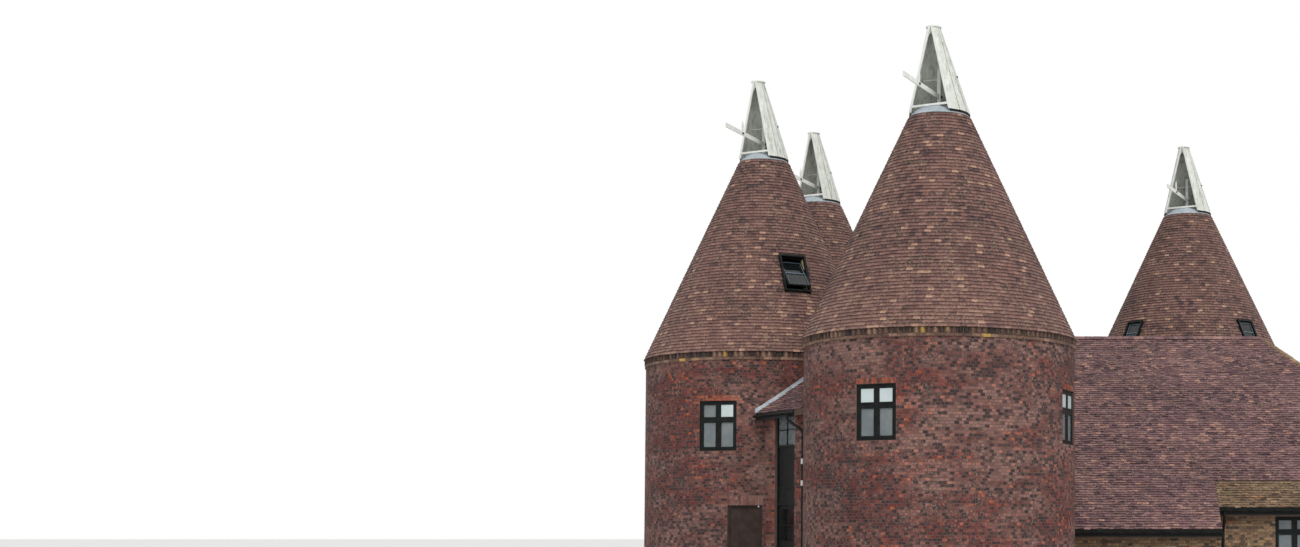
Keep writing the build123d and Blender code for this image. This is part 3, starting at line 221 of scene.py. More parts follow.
shade = bench.mix(bench.times(bloom, takes["Bloom"]), shade, takes["Lichen colour"])
patches = bench.fit(bench.noise(place, 1.9, 3.0), 0.4, 0.65)
lichen = bench.times(bench.times(bench.fit(spots, 0.52, 0.62), patches), takes["Lichen"])
bench.feed(gives["Color"], bench.mix(lichen, shade, takes["Lichen colour"]))
bench.feed(gives["Roughness"], bench.fit(fine, 0.3, 0.7, 0.78, 0.95))
bench.feed(gives["Height"], bench.calc("ADD", fine, bench.times(lichen, 0.6)))
fired_clay = bench.tree
print("group", fired_clay.name)

# %% [markdown]
# ## Weathering and wood grain
#
# Paint, lead, mortar and boards all gather grime in the same two ways: in soft patches, and in
# streaks where rain runs down. One group makes both from noise, the streaks by squeezing the
# coordinates upright. A second group gives the grain of sawn boards: the same noise stretched
# along the board, with which way it runs chosen by a scale for each axis.

# %% The weathering and wood grain groups
bench, takes, gives = new_group(
    "Weathering",
    {
        "Coordinates": None, "Clean": (0.8, 0.8, 0.8, 1), "Grime": (0.1, 0.1, 0.1, 1),
        "Amount": 0.4, "Patch scale": 3.0, "Streaks": 0.3,
    },
    ("Color", "Mask", "Height"),
)
place = takes["Coordinates"]
patch = bench.fit(bench.noise(place, takes["Patch scale"], 6.0, 0.62), 0.4, 0.7)
streak = bench.fit(bench.noise(bench.scaled(place, (14.0, 14.0, 0.9)), 1.0, 4.0, 0.6), 0.5, 0.72)
patch, streak = bench.times(patch, takes["Amount"]), bench.times(streak, takes["Streaks"])
mask = bench.calc("MAXIMUM", patch, streak)
speck = bench.noise(place, 90.0, 3.0, 0.6)
shade = bench.mix(mask, takes["Clean"], takes["Grime"])
bench.feed(gives["Color"], bench.vary(shade, speck, (0.86, 0.86, 0.86), (1.12, 1.12, 1.12)))
bench.feed(gives["Mask"], mask)
bench.feed(gives["Height"], speck)
weathering = bench.tree

wanted = {"Coordinates": None, "Squeeze": None}
bench, takes, gives = new_group("Wood grain", wanted, ("Mask", "Height"))
rings = bench.noise(bench.scaled(takes["Coordinates"], takes["Squeeze"]), 1.0, 5.0, 0.6)
bench.feed(gives["Mask"], bench.fit(rings, 0.38, 0.66))
bench.feed(gives["Height"], rings)
wood_grain = bench.tree
print("groups", weathering.name, "and", wood_grain.name)

# %% [markdown]
# ## Three kinds of material
#
# Each material places the groups with its own values and feeds one Principled shader. What is the
# same all over a surface, such as the metallic value of lead, is set on the shader itself. Clay
# reads the tint and the dirt that the mesh carries; painted, leaden and wooden things share the
# weathering; glass lets light through and is only dulled by dust.

# %% What every material has
MATERIALS = {}  # by their names here, since the model brings materials of its own


def new_material(name, plain=()):
    """A material with one Principled shader, and object coordinates for its patterns."""
    material = MATERIALS[name] = bpy.data.materials.new(name)
    material.use_nodes = True
    shader = next(n for n in material.node_tree.nodes if n.type == "BSDF_PRINCIPLED")
    for key, value in dict(plain).items():
        shader.inputs[key].default_value = value
    bench = Bench(material.node_tree)
    return bench, shader, bench.add("ShaderNodeTexCoord").outputs["Object"]


def finish(bench, shader, shade, roughness, height, depth, strength=1.0):
    bump = bench.add("ShaderNodeBump", {"Height": height, "Distance": depth, "Strength": strength})
    bench.feed(shader.inputs["Base Color"], shade)
    bench.feed(shader.inputs["Roughness"], roughness)
    bench.feed(shader.inputs["Normal"], bump.outputs["Normal"])


print("shared helpers ready")

# %% Clay, weathered finishes and glass
def clay_material(name, shades, lichen_colour, lichen, soot, bloom=0.0):
    bench, shader, where = new_material(name)
    values = {"Coordinates": where, "Lichen": lichen, "Soot": soot, "Bloom": bloom}
    for label, screen in zip((*SHADES, "Lichen colour"), (*shades, lichen_colour)):
        values[label] = colour(*screen)
    # each piece's tint, and the painted shade at its corners, are read from the mesh
    for label in ("Tint", "Dirt"):
        settings = dict(attribute_type="GEOMETRY", attribute_name=label.lower())
        values[label] = bench.add("ShaderNodeAttribute", **settings).outputs["Fac"]
    clay = bench.add("ShaderNodeGroup", values, node_tree=fired_clay).outputs
    finish(bench, shader, clay["Color"], clay["Roughness"], clay["Height"], 0.004)


def place_weathering(bench, where, clean, grime, amount, patch, streaks):
    values = {"Coordinates": where, "Clean": colour(*clean), "Grime": colour(*grime)}
    values.update({"Amount": amount, "Patch scale": patch, "Streaks": streaks})
    return bench.add("ShaderNodeGroup", values, node_tree=weathering).outputs


def weathered_material(
    name, clean, grime, amount, patch, streaks, rough, depth, grain=None, plain=()
):
    """A plain finish under grime. rough gives the roughness where it is clean and where dirty."""
    bench, shader, where = new_material(name, plain)
    worn = place_weathering(bench, where, clean, grime, amount, patch, streaks)
    shade, height = worn["Color"], worn["Height"]
    if grain:
        feeds = {"Coordinates": where, "Squeeze": grain}
        wood = bench.add("ShaderNodeGroup", feeds, node_tree=wood_grain).outputs
        faint = bench.fit(wood["Mask"], 0.0, 1.0, 0.0, 0.45)
        shade = bench.mix(faint, shade, (0.7, 0.68, 0.64, 1), "MULTIPLY")
        height = bench.calc("ADD", bench.times(height, 0.3), wood["Height"])
    finish(bench, shader, shade, bench.fit(worn["Mask"], 0.0, 1.0, *rough), height, depth)


def glass_material(name, clean, grime, amount, passes, mirror=0.6):
    """Glass under dust. passes is the part of the light that goes through, mirror its shine."""
    plain = {"Transmission Weight": passes, "IOR": 1.45, "Specular IOR Level": mirror}
    bench, shader, where = new_material(name, plain)
    dust = place_weathering(bench, where, clean, grime, amount, 2.2, 0.3)
    roughness = bench.fit(dust["Mask"], 0.0, 1.0, 0.03, 0.16)
    finish(bench, shader, dust["Color"], roughness, bench.noise(where, 1.3, 2.0), 0.004, 0.4)


print("material helpers ready")

# %% [markdown]
# ## Brick, tile and mortar
#
# The colours were set by comparing patches of the render with the same patches of the photograph:
# dark red and brown-black headers with a few orange ones, paler where the wall has bloomed, in
# dark joints, and tiles of a dull purple-brown. The lobby and the low barn wall are of yellower
# brick and older tile.

# %% Clay materials
CLAYS = {  # burnt, dark, middle, light and bright shades, then lichen colour, lichen, soot, bloom
    "kiln brick": (
        ((54, 36, 37), (68, 38, 38), (100, 45, 40), (130, 66, 56), (158, 76, 44)),
        (164, 140, 129), 0.6, 0.5, 0.40,
    ),
    "yellow brick": (
        ((58, 52, 48), (98, 76, 58), (132, 106, 78), (152, 126, 92), (142, 84, 56)),
        (160, 152, 124), 0.4, 0.5,
    ),
    "eaves brick": (
        ((48, 38, 36), (78, 58, 52), (106, 80, 70), (142, 112, 96), (184, 150, 78)),
        (160, 134, 84), 0.35, 0.5,
    ),
    "roof tile": (
        ((80, 60, 62), (104, 77, 73), (128, 95, 88), (150, 116, 104), (178, 142, 122)),
        (172, 156, 126), 0.45, 0.45,
    ),
    "old roof tile": (
        ((72, 58, 48), (102, 83, 66), (130, 107, 84), (156, 130, 104), (150, 108, 80)),
        (168, 156, 116), 0.5, 0.5,
    ),
    "barn roof tile": (
        ((78, 59, 66), (102, 76, 82), (128, 97, 98), (154, 120, 115), (176, 136, 122)),
        (170, 154, 130), 0.4, 0.45,
    ),
}
for name, row in CLAYS.items():
    clay_material(name, *row)
print(len(CLAYS), "clay finishes")

# %% [markdown]
# ## Mortar, timber, lead, iron and glass
#
# The cowls are painted boards, white where the paint holds and greenish grey where it has worn;
# their mouths and vanes have newer paint. The window frames, the screen and the gutters are black,
# with dust in patches that keeps them from being a flat hole, and too dull to mirror the sky. Lead
# sheet is pale blue-grey with whitish streaks. Glass comes in three kinds: panes under dust whose
# pale grey is also a painted reflection of the sky, small top lights painted near white as the
# sky's reflection, and clear ones in the rooflights, black with the loft behind them.

# %% Weathered materials and glass
UPRIGHT, LEVEL, ACROSS = (45.0, 45.0, 2.0), (3.0, 3.0, 60.0), (2.0, 50.0, 50.0)
DULL, LEADEN = {"Specular IOR Level": 0.12}, {"Metallic": 0.35}
WEATHERED = {  # clean, grime, amount, patch scale, streaks, roughness, bump, grain, plain values
    "lime mortar": ((104, 86, 80), (70, 57, 54), 0.6, 1.6, 0.25, (0.9, 0.95), 0.003),
    "limewash": ((196, 190, 178), (150, 140, 126), 0.5, 1.2, 0.2, (0.85, 0.95), 0.002),
    "white paint":
        ((226, 230, 223), (128, 134, 116), 0.35, 4.0, 0.85, (0.45, 0.75), 0.002, UPRIGHT),
    "newer white paint":
        ((244, 246, 242), (150, 154, 140), 0.25, 4.0, 0.35, (0.45, 0.75), 0.002, UPRIGHT),
    "black paint": ((20, 24, 24), (50, 54, 50), 0.35, 6.0, 0.2, (0.35, 0.6), 0.0015, UPRIGHT, DULL),
    "dark brown boards":
        ((54, 43, 40), (82, 68, 62), 0.5, 4.0, 0.35, (0.55, 0.75), 0.003, UPRIGHT, DULL),
    "roof boarding": ((84, 66, 54), (48, 40, 36), 0.7, 2.0, 0.2, (0.85, 0.95), 0.003, LEVEL),
    "blue-grey paint": ((112, 134, 150), (84, 90, 92), 0.5, 5.0, 0.3, (0.5, 0.75), 0.001, UPRIGHT),
    # the dark beads on the cowl joints: dirt, and painted shade of the grooves
    "old putty": ((72, 76, 68), (120, 124, 110), 0.6, 6.0, 0.4, (0.8, 0.9), 0.001),
    "pine": ((190, 176, 136), (140, 122, 92), 0.5, 4.0, 0.3, (0.6, 0.8), 0.002, UPRIGHT),
    "oak": ((124, 108, 88), (78, 68, 58), 0.6, 3.0, 0.3, (0.7, 0.85), 0.003, LEVEL),
    "floor boards": ((142, 112, 82), (86, 66, 50), 0.6, 1.5, 0.0, (0.5, 0.75), 0.002, ACROSS),
    "ground floor": ((150, 144, 136), (104, 98, 92), 0.6, 1.4, 0.0, (0.75, 0.9), 0.002),
    "lead sheet":
        ((166, 178, 187), (206, 212, 214), 0.6, 5.0, 0.7, (0.42, 0.6), 0.0015, None, LEADEN),
    "gutter black": ((20, 21, 22), (66, 66, 62), 0.3, 5.0, 0.3, (0.25, 0.55), 0.0008, None, DULL),
    "black iron": ((24, 23, 23), (70, 50, 40), 0.4, 9.0, 0.3, (0.55, 0.8), 0.0015, None, DULL),
    "lamp white": ((226, 228, 226), (170, 168, 158), 0.3, 12.0, 0.2, (0.3, 0.5), 0.0005),
}
for name, row in WEATHERED.items():
    weathered_material(name, *row)
# pale blue-grey where clean, a painted reflection of the sky, with real dust over it
glass_material("dusty glass", (150, 162, 168), (186, 190, 188), 0.8, 0.6)
# the small top lights: near white, a painted reflection of the sky
glass_material("whitened glass", (214, 228, 228), (190, 202, 204), 0.7, 0.15)
glass_material("clear glass", (84, 92, 94), (104, 110, 110), 0.3, 0.92, 0.05)
print(len(MATERIALS), "materials")

# %% [markdown]
# ## Finishes on the model's own parts
#
# The model's walls, frames, doors and cowls keep their shape and only get a finish. The walls
# become mortar, because the bricks laid on them below leave the joints open and the wall shows
# through there. The roofs become the boarding under the tiles. What no line of the list names,
# such as a window frame, is painted black.

# %% Give each part of the model its finish
FINISHES = {  # the first words that a part's name contains decide
    "rooflight_glass": "clear glass", "lobby_door_glass": "clear glass", "_glass": "dusty glass",
    "_cowl_boards": "white paint", "_cowl_mouth": "newer white paint",
    "_cowl_vane": "newer white paint", "cowl_beams": "oak", "lead_curbs": "lead sheet",
    "passage_roof": "lead sheet", "_roof": "roof boarding", "lobby_back_wall": "limewash",
    "_wall": "lime mortar", "walls_over_doorways": "lime mortar", "upper_floor": "floor boards",
    "_floor": "ground floor", "kiln_door": "dark brown boards", "door_hinges": "black iron",
    "gutters": "gutter black", "downpipes": "gutter black",
}
for name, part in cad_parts.items():
    chosen = next((finish for words, finish in FINISHES.items() if words in name), "black paint")
    part.data.materials.clear()
    part.data.materials.append(MATERIALS[chosen])
print(len(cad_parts), "parts finished")

# %% [markdown]
# ## Turning many small pieces into one mesh
#
# A wall has thousands of bricks. Making an object for each would be slow, so every wall or roof
# slope is one mesh: the corners of all its bricks go into one array, and the same pattern of faces
# is repeated for each. The tint and the painted shade go onto the corners as attributes.

# %% Mesh helpers
def new_piece(name, points, faces, material, slot, body="root", **carried):
    """A mesh that rides on a body. carried names the numbers that each of its points has."""
    mesh = bpy.data.meshes.new(name)
    mesh.from_pydata(points, [], faces)
    mesh.validate()
    for label, values in carried.items():
        mesh.attributes.new(label, "FLOAT", "POINT").data.foreach_set("value", values)
    piece = bpy.data.objects.new(name, mesh)
    bpy.context.scene.collection.objects.link(piece)
    mesh.materials.append(MATERIALS[material])
    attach(piece, body)
    return piece


def repeat_shape(name, corners, pattern, material, slot, tints, dirt=None):
    """One mesh of many like pieces. corners is pieces x corners x 3, pattern the faces of one, and
    the last argument the painted shade at each of its corners."""
    count, size = corners.shape[:2]
    starts = np.arange(count) * size
    faces = []
    for face in pattern:
        faces += (starts[:, None] + np.array(face)).tolist()
    dirt = np.tile(np.zeros(size) if dirt is None else np.array(dirt), count)
    tints = np.repeat(tints, size)
    new_piece(name, corners.reshape(-1, 3).tolist(), faces, material, slot, tint=tints, dirt=dirt)
    print(name, count, "pieces,", count * sum(len(face) - 2 for face in pattern), "triangles")


def ring_points(kiln, distance, s, z):
    """Points at a distance from a kiln's axis. s runs along its wall, from the front."""
    a = s / kiln["radius"]
    x, y = kiln["x"] + distance * np.sin(a), kiln["y"] - distance * np.cos(a)
    return np.stack([x, y, z + 0 * a], axis=1)


print("mesh helpers ready")

# %% [markdown]
# ## Laying the bricks of the round walls
#
# A curved wall of this size is laid in header bond: only the short ends of the bricks show, since
# long ones wouldn't follow the curve. Each course holds the number of headers that fits the
# circumference and starts half a brick on from the last. Bricks that meet a window are cut at its
# edge. The faces stand 4 mm out from the mortar, enough to cast a line of shadow in each joint. A
# brick is drawn by its face, top and underside; its ends are hidden in the joints.

# %% One brick, and bricks cut by openings
COURSE, JOINT, HEADER, STRETCHER = 0.075, 0.012, 0.1025, 0.215
PROUD, SUNK = 0.004, 0.002  # how far a brick stands out of the mortar, and how far it goes in
SLIVER = 0.015              # a narrower piece of brick isn't laid
BRICK_FACES = ((0, 1, 2, 3), (3, 2, 6, 7), (1, 0, 4, 5))


def brick_corners(point, low, high, foot, head, proud):
    """Four corners on the face of each brick, then four in the wall. point gives a place from how
    far along the wall, how high and how far out it is."""
    outline = ((low, foot), (high, foot), (high, head), (low, head))
    return np.stack([point(s, z, out) for out in (proud, -SUNK) for s, z in outline], axis=1)


def cut_by_openings(low, high, foot, head, openings):
    """Shortens or drops the bricks that an opening takes. An opening is (low, high, foot, head)."""
    keep = np.ones(len(low), bool)
    for start, end, sill, top in openings:
        beside = (head > sill + 0.01) & (foot < top - 0.01)
        keep &= ~(beside & (low >= start) & (high <= end))
        high = np.where(beside & (low < start) & (high > start), np.minimum(high, start), high)
        low = np.where(beside & (low < end) & (high > end), np.maximum(low, end), low)
    keep &= (high - low) > SLIVER
    return low[keep], high[keep], keep


print("a brick is", STRETCHER, "by", HEADER, "by", COURSE - JOINT, "m")

# %% [markdown]
# A wall was never one colour. Hard-burnt bricks are commoner in some parts of it than in others,
# and now and then a cart of bright orange ones was laid close together. The front and right kilns
# have a band of bricks on edge over each window; the two left ones have ordinary courses there, of
# brighter bricks. One doorway of the left kiln leads outside, under a band of its own.

# %% Openings of the kilns
BAND_FOOT = EAVES - 0.225
ON_EDGE = ("front_kiln", "right_kiln")
OVER_WINDOW = (WINDOW_WIDTH + 0.02, WINDOW_HEAD + 0.008, 0.132)  # width, foot and height of a band
DOORWAY = (-0.5, 0.44, 0.0, 2.515)
OVER_DOORWAY = (-0.03, 0.96, 2.30, 0.25)


def kiln_openings(name, kiln):
    """Windows, with the band of bricks on edge above some, and the one outer doorway."""
    spans = [DOORWAY] if name == "left_kiln" else []
    once_round = 2 * math.pi * kiln["radius"]
    top = WINDOW_HEAD + (0.12 if name in ON_EDGE else 0.0)
    for azimuth in kiln["windows"]:
        for turn in (-once_round, 0, once_round):
            at = math.radians(azimuth) * kiln["radius"] + turn
            spans.append((at - WINDOW_WIDTH / 2, at + WINDOW_WIDTH / 2, WINDOW_SILL, top))
    return spans


print(sum(len(kiln["windows"]) for kiln in KILNS.values()), "windows in the kilns")

# %% Headers of the kilns
BRIGHT, BURNT_TO = 0.97, 0.12  # the tint of a bright piece, and the highest of a burnt one


def header_tints(name, kiln, middle, foot):
    """A tint for each header, from where it lies."""
    azimuth = middle / kiln["radius"]
    drift = 0.5 + 0.5 * np.sin(azimuth * 1.7 + 2.2) * np.cos(foot * 0.9 + azimuth * 3.1)
    tints = rng.beta(2.1, 1.7 + drift)
    burnt = rng.random(len(tints)) < 0.10 + 0.13 * drift + 0.10 * (np.abs(azimuth - 1.1) < 0.5)
    tints[burnt] = rng.random(burnt.sum()) * BURNT_TO
    cluster = np.sin(5.1 * azimuth + 1.3 * foot) * np.sin(2.3 * foot - 2.2 * azimuth) > 0.88
    orange = rng.random(len(tints)) < 0.010 + 0.16 * cluster
    if name not in ON_EDGE:
        course_over = np.abs(foot - WINDOW_HEAD - 0.06) < 0.08
        for at in kiln["windows"]:
            over = course_over & (np.abs(middle - math.radians(at) * kiln["radius"]) < 0.62)
            orange |= over & (rng.random(len(tints)) < 0.85)
    tints[orange] = BRIGHT
    return tints


def header_courses(name, kiln):
    """Where each header lies, how far it stands out, and its tint."""
    once_round = 2 * math.pi * kiln["radius"]
    count = round(once_round / (HEADER + JOINT))
    pitch = once_round / count
    course, place = np.indices((math.ceil(BAND_FOOT / COURSE), count)).reshape(2, -1)
    middle = (place + 0.5 * (course % 2)) * pitch - once_round / 2
    middle = middle + rng.normal(0, 0.002, middle.shape)
    low, high = middle - (pitch - JOINT) / 2, middle + (pitch - JOINT) / 2
    foot = course * COURSE + JOINT + rng.normal(0, 0.0012, low.shape)
    head = np.minimum(foot + COURSE - JOINT, BAND_FOOT)
    low, high, kept = cut_by_openings(low, high, foot, head, kiln_openings(name, kiln))
    foot, head = foot[kept], head[kept]
    tints = header_tints(name, kiln, middle[kept], foot)
    proud = PROUD + rng.normal(0, 0.0008, len(tints)).clip(-0.002, 0.002)
    return low, high, foot, head, proud, tints


print("a wall has", math.ceil(BAND_FOOT / COURSE), "courses under its eaves")

# %% Bands on edge, and the laying
ON_EDGE_THICK = 0.064


def bricks_on_edge(name, kiln):
    """The bands over windows and the doorway: upright headers, laid on edge."""
    windows = kiln["windows"] if name in ON_EDGE else ()
    bands = [(math.radians(azimuth) * kiln["radius"], *OVER_WINDOW) for azimuth in windows]
    if name == "left_kiln":
        bands.append(OVER_DOORWAY)
    rows = []
    for middle, width, z, height in bands:
        number = round(width / COURSE)
        for i in range(number):
            rows.append((middle - width / 2 + i * width / number + JOINT / 2, z, height))
    low, foot, tall = np.array(rows).reshape(-1, 3).T
    orange = (rng.random(len(low)) < 0.55) & (foot > WINDOW_SILL)
    tints = np.where(orange, 0.98, 0.3 + 0.5 * rng.random(len(low)))
    return low, low + ON_EDGE_THICK, foot, foot + tall, np.full(len(low), PROUD + 0.002), tints


for name, kiln in KILNS.items():
    sets = [header_courses(name, kiln), bricks_on_edge(name, kiln)]
    *laid, tints = (np.concatenate(column) for column in zip(*sets))
    corners = brick_corners(lambda s, z, out: ring_points(kiln, kiln["radius"] + out, s, z), *laid)
    repeat_shape(name + "_bricks", corners, BRICK_FACES, "kiln brick", "brick", tints)

# %% [markdown]
# ## The brick eaves
#
# Under the tiles, each kiln has a band of bricks set at an angle, so that their corners point out
# like teeth, on a course that stands out from the wall. It carries the tiles clear of the wall and
# throws a broken shadow. Each tooth is a three-sided prism, and the course below is a ring of
# longer bricks with a soffit. Lichen has turned the teeth yellow in places, most of all beside the
# first window.

# %% Dog-tooth eaves of the kilns
TOOTH_PITCH, TOOTH_OUT, COURSE_OUT, COURSE_BRICK = 0.150, 0.046, 0.036, 0.225
TEETH_Z, COURSE_Z = (EAVES - 0.142, EAVES - 0.004), (EAVES - 0.222, EAVES - 0.148)
TOOTH_FACES = ((0, 1, 4, 3), (1, 2, 5, 4), (0, 2, 1), (3, 4, 5))
TOOTH_DIRT = (1, 0, 1, 1, 0, 1)  # painted shade lies in the corners behind the teeth
COURSE_FACES = ((0, 1, 5, 4), (4, 5, 6, 7), (3, 2, 1, 0), (1, 2, 6, 5), (3, 0, 4, 7))


def ring_of_pieces(kiln, outline, heights):
    """Prisms round a kiln. outline lists how far out each upright edge is, and where."""
    edges = [(kiln["radius"] + out, s, z) for z in heights for out, s in outline]
    return np.stack([ring_points(kiln, *edge) for edge in edges], axis=1)


for name, kiln in KILNS.items():
    once_round = 2 * math.pi * kiln["radius"]
    count = round(once_round / TOOTH_PITCH)
    s = np.arange(count) * once_round / count
    half = TOOTH_PITCH / 2 - 0.004
    teeth = ring_of_pieces(kiln, ((-SUNK, s - half), (TOOTH_OUT, s), (-SUNK, s + half)), TEETH_Z)
    by_window = np.cos(s / kiln["radius"] - math.radians(kiln["windows"][0] + 14.0)) > 0.94
    yellow = rng.random(count) < 0.03 + 0.55 * by_window
    tints = np.where(yellow, 0.8 + 0.2 * rng.random(count), 0.5 * rng.random(count))
    # the teeth carry painted shade in the corners between them
    look = ("eaves brick", "brick", tints, TOOTH_DIRT)
    repeat_shape(name + "_eaves_teeth", teeth, TOOTH_FACES, *look)

    count = round(once_round / COURSE_BRICK)
    low = np.arange(count) * once_round / count
    high = low + once_round / count - 0.006
    outline = ((COURSE_OUT, low), (COURSE_OUT, high), (-SUNK, high), (-SUNK, low))
    tints = 0.25 + 0.74 * rng.random(count)
    ring = ring_of_pieces(kiln, outline, COURSE_Z)
    repeat_shape(name + "_eaves_course", ring, COURSE_FACES, "eaves brick", "brick", tints)

# %% [markdown]
# ## Bricks of the straight walls
#
# The barn and the lobby are laid in the usual way, a long brick and a short one in turn, with the
# short ones centred over the long ones of the course below. Each wall is described by where its
# face starts, which way it runs, how high the roof lets it go and where its windows are. Bricks
# inside a kiln or above the roof are left out, and the lobby's left edge is of brighter ones.

# %% Sizes of the barn and the lobby
RIDGE_Y, RIDGE_Z, PITCH = 8.5, 7.5, math.radians(42.0)
COS, SIN, TAN = math.cos(PITCH), math.sin(PITCH), math.tan(PITCH)
BARN_WINDOW_HEIGHT = 1.10
BARN_WINDOWS = {  # how far along its wall each one is, and how high its sill
    "back_wall": ((10.35, 3.5), (10.35, 0.9), (7.85, 0.9)),
    "right_end": ((3.782, 3.5), (3.782, 0.9), (5.782, 3.5)),
    "front_wall": ((2.1, 0.9),),
}
RIGHT, BACK = Vector((1, 0, 0)), Vector((0, 1, 0))
LEFT, FRONT = -RIGHT, -BACK
LOBBY_A, LOBBY_B = Vector((-4.7465, 2.2371, 0)), Vector((-3.4423, 0.3497, 0))
LOBBY_ALONG = (LOBBY_B - LOBBY_A).normalized()
LOBBY_OUT = Vector((LOBBY_ALONG.y, -LOBBY_ALONG.x, 0))
LOBBY_EAVES, LOBBY_PITCH, LOBBY_OVERHANG, LOBBY_DEPTH = 4.745, math.radians(36.5), 0.25, 1.62
LOBBY_DOORWAY, LOBBY_EDGE = (0.6, 1.68, 0.0, 5.0), (0.28, 0.61)


def barn_slope_z(point):
    return RIDGE_Z - abs(point.y - RIDGE_Y) * TAN


def lobby_slope_z(point):
    inward = -(Vector((point.x, point.y, 0)) - LOBBY_A).dot(LOBBY_OUT)
    return LOBBY_EAVES + (inward + LOBBY_OVERHANG) * math.tan(LOBBY_PITCH)


print("ridge at", RIDGE_Z, "m, lobby", round((LOBBY_B - LOBBY_A).length, 2), "m long")

# %% One face of a straight wall
def window_spans(wall):
    half, tall = WINDOW_WIDTH / 2, BARN_WINDOW_HEIGHT
    return [(at - half, at + half, sill, sill + tall) for at, sill in BARN_WINDOWS[wall]]


def straight_bricks(start, along, out, length, top, openings, bright_edge=None):
    """Corners and tints of the bricks on one face. top gives the height of the roof at a point."""
    start, along, out = (Vector(v) for v in (start, along, out))
    period = STRETCHER + HEADER + 2 * JOINT
    rows = []
    for course in range(int(8.0 / COURSE)):
        for i in range(int(length / period) + 3):
            at = -period / 2 * (course % 2) - 0.11 + i * period
            for width in (STRETCHER, HEADER):
                low, high = max(at, 0.0), min(at + width, length)
                at += width + JOINT
                point = start + along * ((low + high) / 2)
                above = (course + 1) * COURSE > top(point)
                if high - low < 0.02 or above or inside_kiln((*point.xy, 1.0), -0.02):
                    continue
                rows.append((low, high, course * COURSE + JOINT))
    low, high, foot = np.array(rows).T
    low, high, kept = cut_by_openings(low, high, foot, foot + COURSE - JOINT, openings)
    foot = foot[kept]
    tints = rng.beta(2.2, 2.0, len(low))
    burnt = rng.random(len(low)) < 0.12
    tints[burnt] = 0.15 * rng.random(burnt.sum())
    tints[rng.random(len(low)) < 0.03] = BRIGHT
    if bright_edge:
        edge = (low > bright_edge[0]) & (high < bright_edge[1]) & (rng.random(len(low)) < 0.7)
        tints[edge] = 0.86 + 0.12 * rng.random(edge.sum())

    def spot(s, z, proud):
        level = np.array(start) + s[:, None] * np.array(along) + np.array(out) * proud
        return level + np.stack([0 * z, 0 * z, z], axis=1)

    return brick_corners(spot, low, high, foot, foot + COURSE - JOINT, PROUD), tints


print("a long and a short brick take", round(STRETCHER + HEADER + 2 * JOINT, 4), "m")

# %% Bricks of the barn and the lobby
WALLS = {  # material, then faces: start, along, out, length, height of the roof, openings
    "back_wall": ("kiln brick", [
        ((11.85, 10.7, 0), LEFT, BACK, 13.85, lambda p: 5.19, window_spans("back_wall"))]),
    "right_end": ("kiln brick", [
        ((11.85, 2.918, 0), BACK, RIGHT, 7.782, lambda p: min(barn_slope_z(p) - 0.20, 5.17),
         window_spans("right_end"))]),
    "left_end": ("kiln brick", [
        ((-2.0, 10.7, 0), FRONT, LEFT, 7.7, lambda p: barn_slope_z(p) - 0.20, [])]),
    "front_wall": ("yellow brick", [
        ((7.5, 2.918, 0), RIGHT, FRONT, 4.35, lambda p: 2.2, window_spans("front_wall")),
        ((2.5, 2.263, 0), RIGHT, FRONT, 5.0, lambda p: 1.62, []),
        ((7.5, 2.263, 0), BACK, RIGHT, 0.655, lambda p: 1.62, [])]),
    "lobby": ("kiln brick", [
        (LOBBY_A, LOBBY_ALONG, LOBBY_OUT, 2.2942, lambda p: 4.68, [LOBBY_DOORWAY], LOBBY_EDGE)]),
}
for name, (material, faces) in WALLS.items():
    sets = [straight_bricks(*face) for face in faces]
    corners, tints = (np.concatenate(column) for column in zip(*sets))
    repeat_shape(name + "_bricks", corners, BRICK_FACES, material, "brick", tints)

# %% [markdown]
# ## Tiles
#
# Plain clay tiles are 165 mm wide, and 100 mm of each shows. Every tile lies on the two courses
# below, so its tail stands clear of the slope and throws the thin shadow that draws the courses.
# A handmade tile is never flat or quite straight, so each one here is lifted, turned and slid by a
# few millimetres. A tile is a wedge with a tail and two sides, with shade painted at its head,
# under the tail of the next, and down its tail. On the cones, each course holds as many tiles as
# its circle has room for.

# %% One tile
GAUGE, TILE_WIDTH, TILE_GAP, TAIL, HEAD, LAP = 0.100, 0.165, 0.0015, 0.022, 0.004, 0.012
TILE_FACES = ((0, 1, 2, 3), (0, 4, 5, 1), (0, 3, 4), (1, 5, 2))
# painted shade at each corner of a tile: none at the tail's edge, full at its head and tail foot
TILE_DIRT = (0.0, 0.0, 1.0, 1.0, 1.0, 1.0)


def tile_corners(low, high, gauge, skew, slide, lift, turn=0.0, wave=0.0):
    """The corners of one tile: its place along the course, how far up from the course's line it
    is, and how far out of the slope."""
    tail = TAIL + wave + lift
    return (
        (low, slide - turn, tail - skew), (high, slide + turn, tail + skew),
        (high, gauge + LAP, wave + HEAD), (low, gauge + LAP, wave + HEAD),
        (low, slide - turn, -SUNK), (high, slide + turn, -SUNK),
    )


def tile_tints(drift):
    tints = np.clip(rng.beta(3.2, 3.0, len(drift)) + 0.2 * (np.array(drift) - 0.5), 0, 0.9)
    tints[rng.random(len(drift)) < 0.03] = BRIGHT
    return tints


print("a course shows", GAUGE, "m of its tiles")

# %% Tiles of the kilns
def in_rooflight(name, azimuth, z):
    """True in the hole of a rooflight or within 30 mm of it. Its length rises by nine tenths."""
    for middle, height, width, length in ROOFLIGHTS.get(name, ()):
        half = math.degrees((width / 2 + 0.03) / cone_radius(KILNS[name], z))
        if abs(azimuth - middle) < half and abs(z - height) < length * 0.45 + 0.03:
            return True
    return False


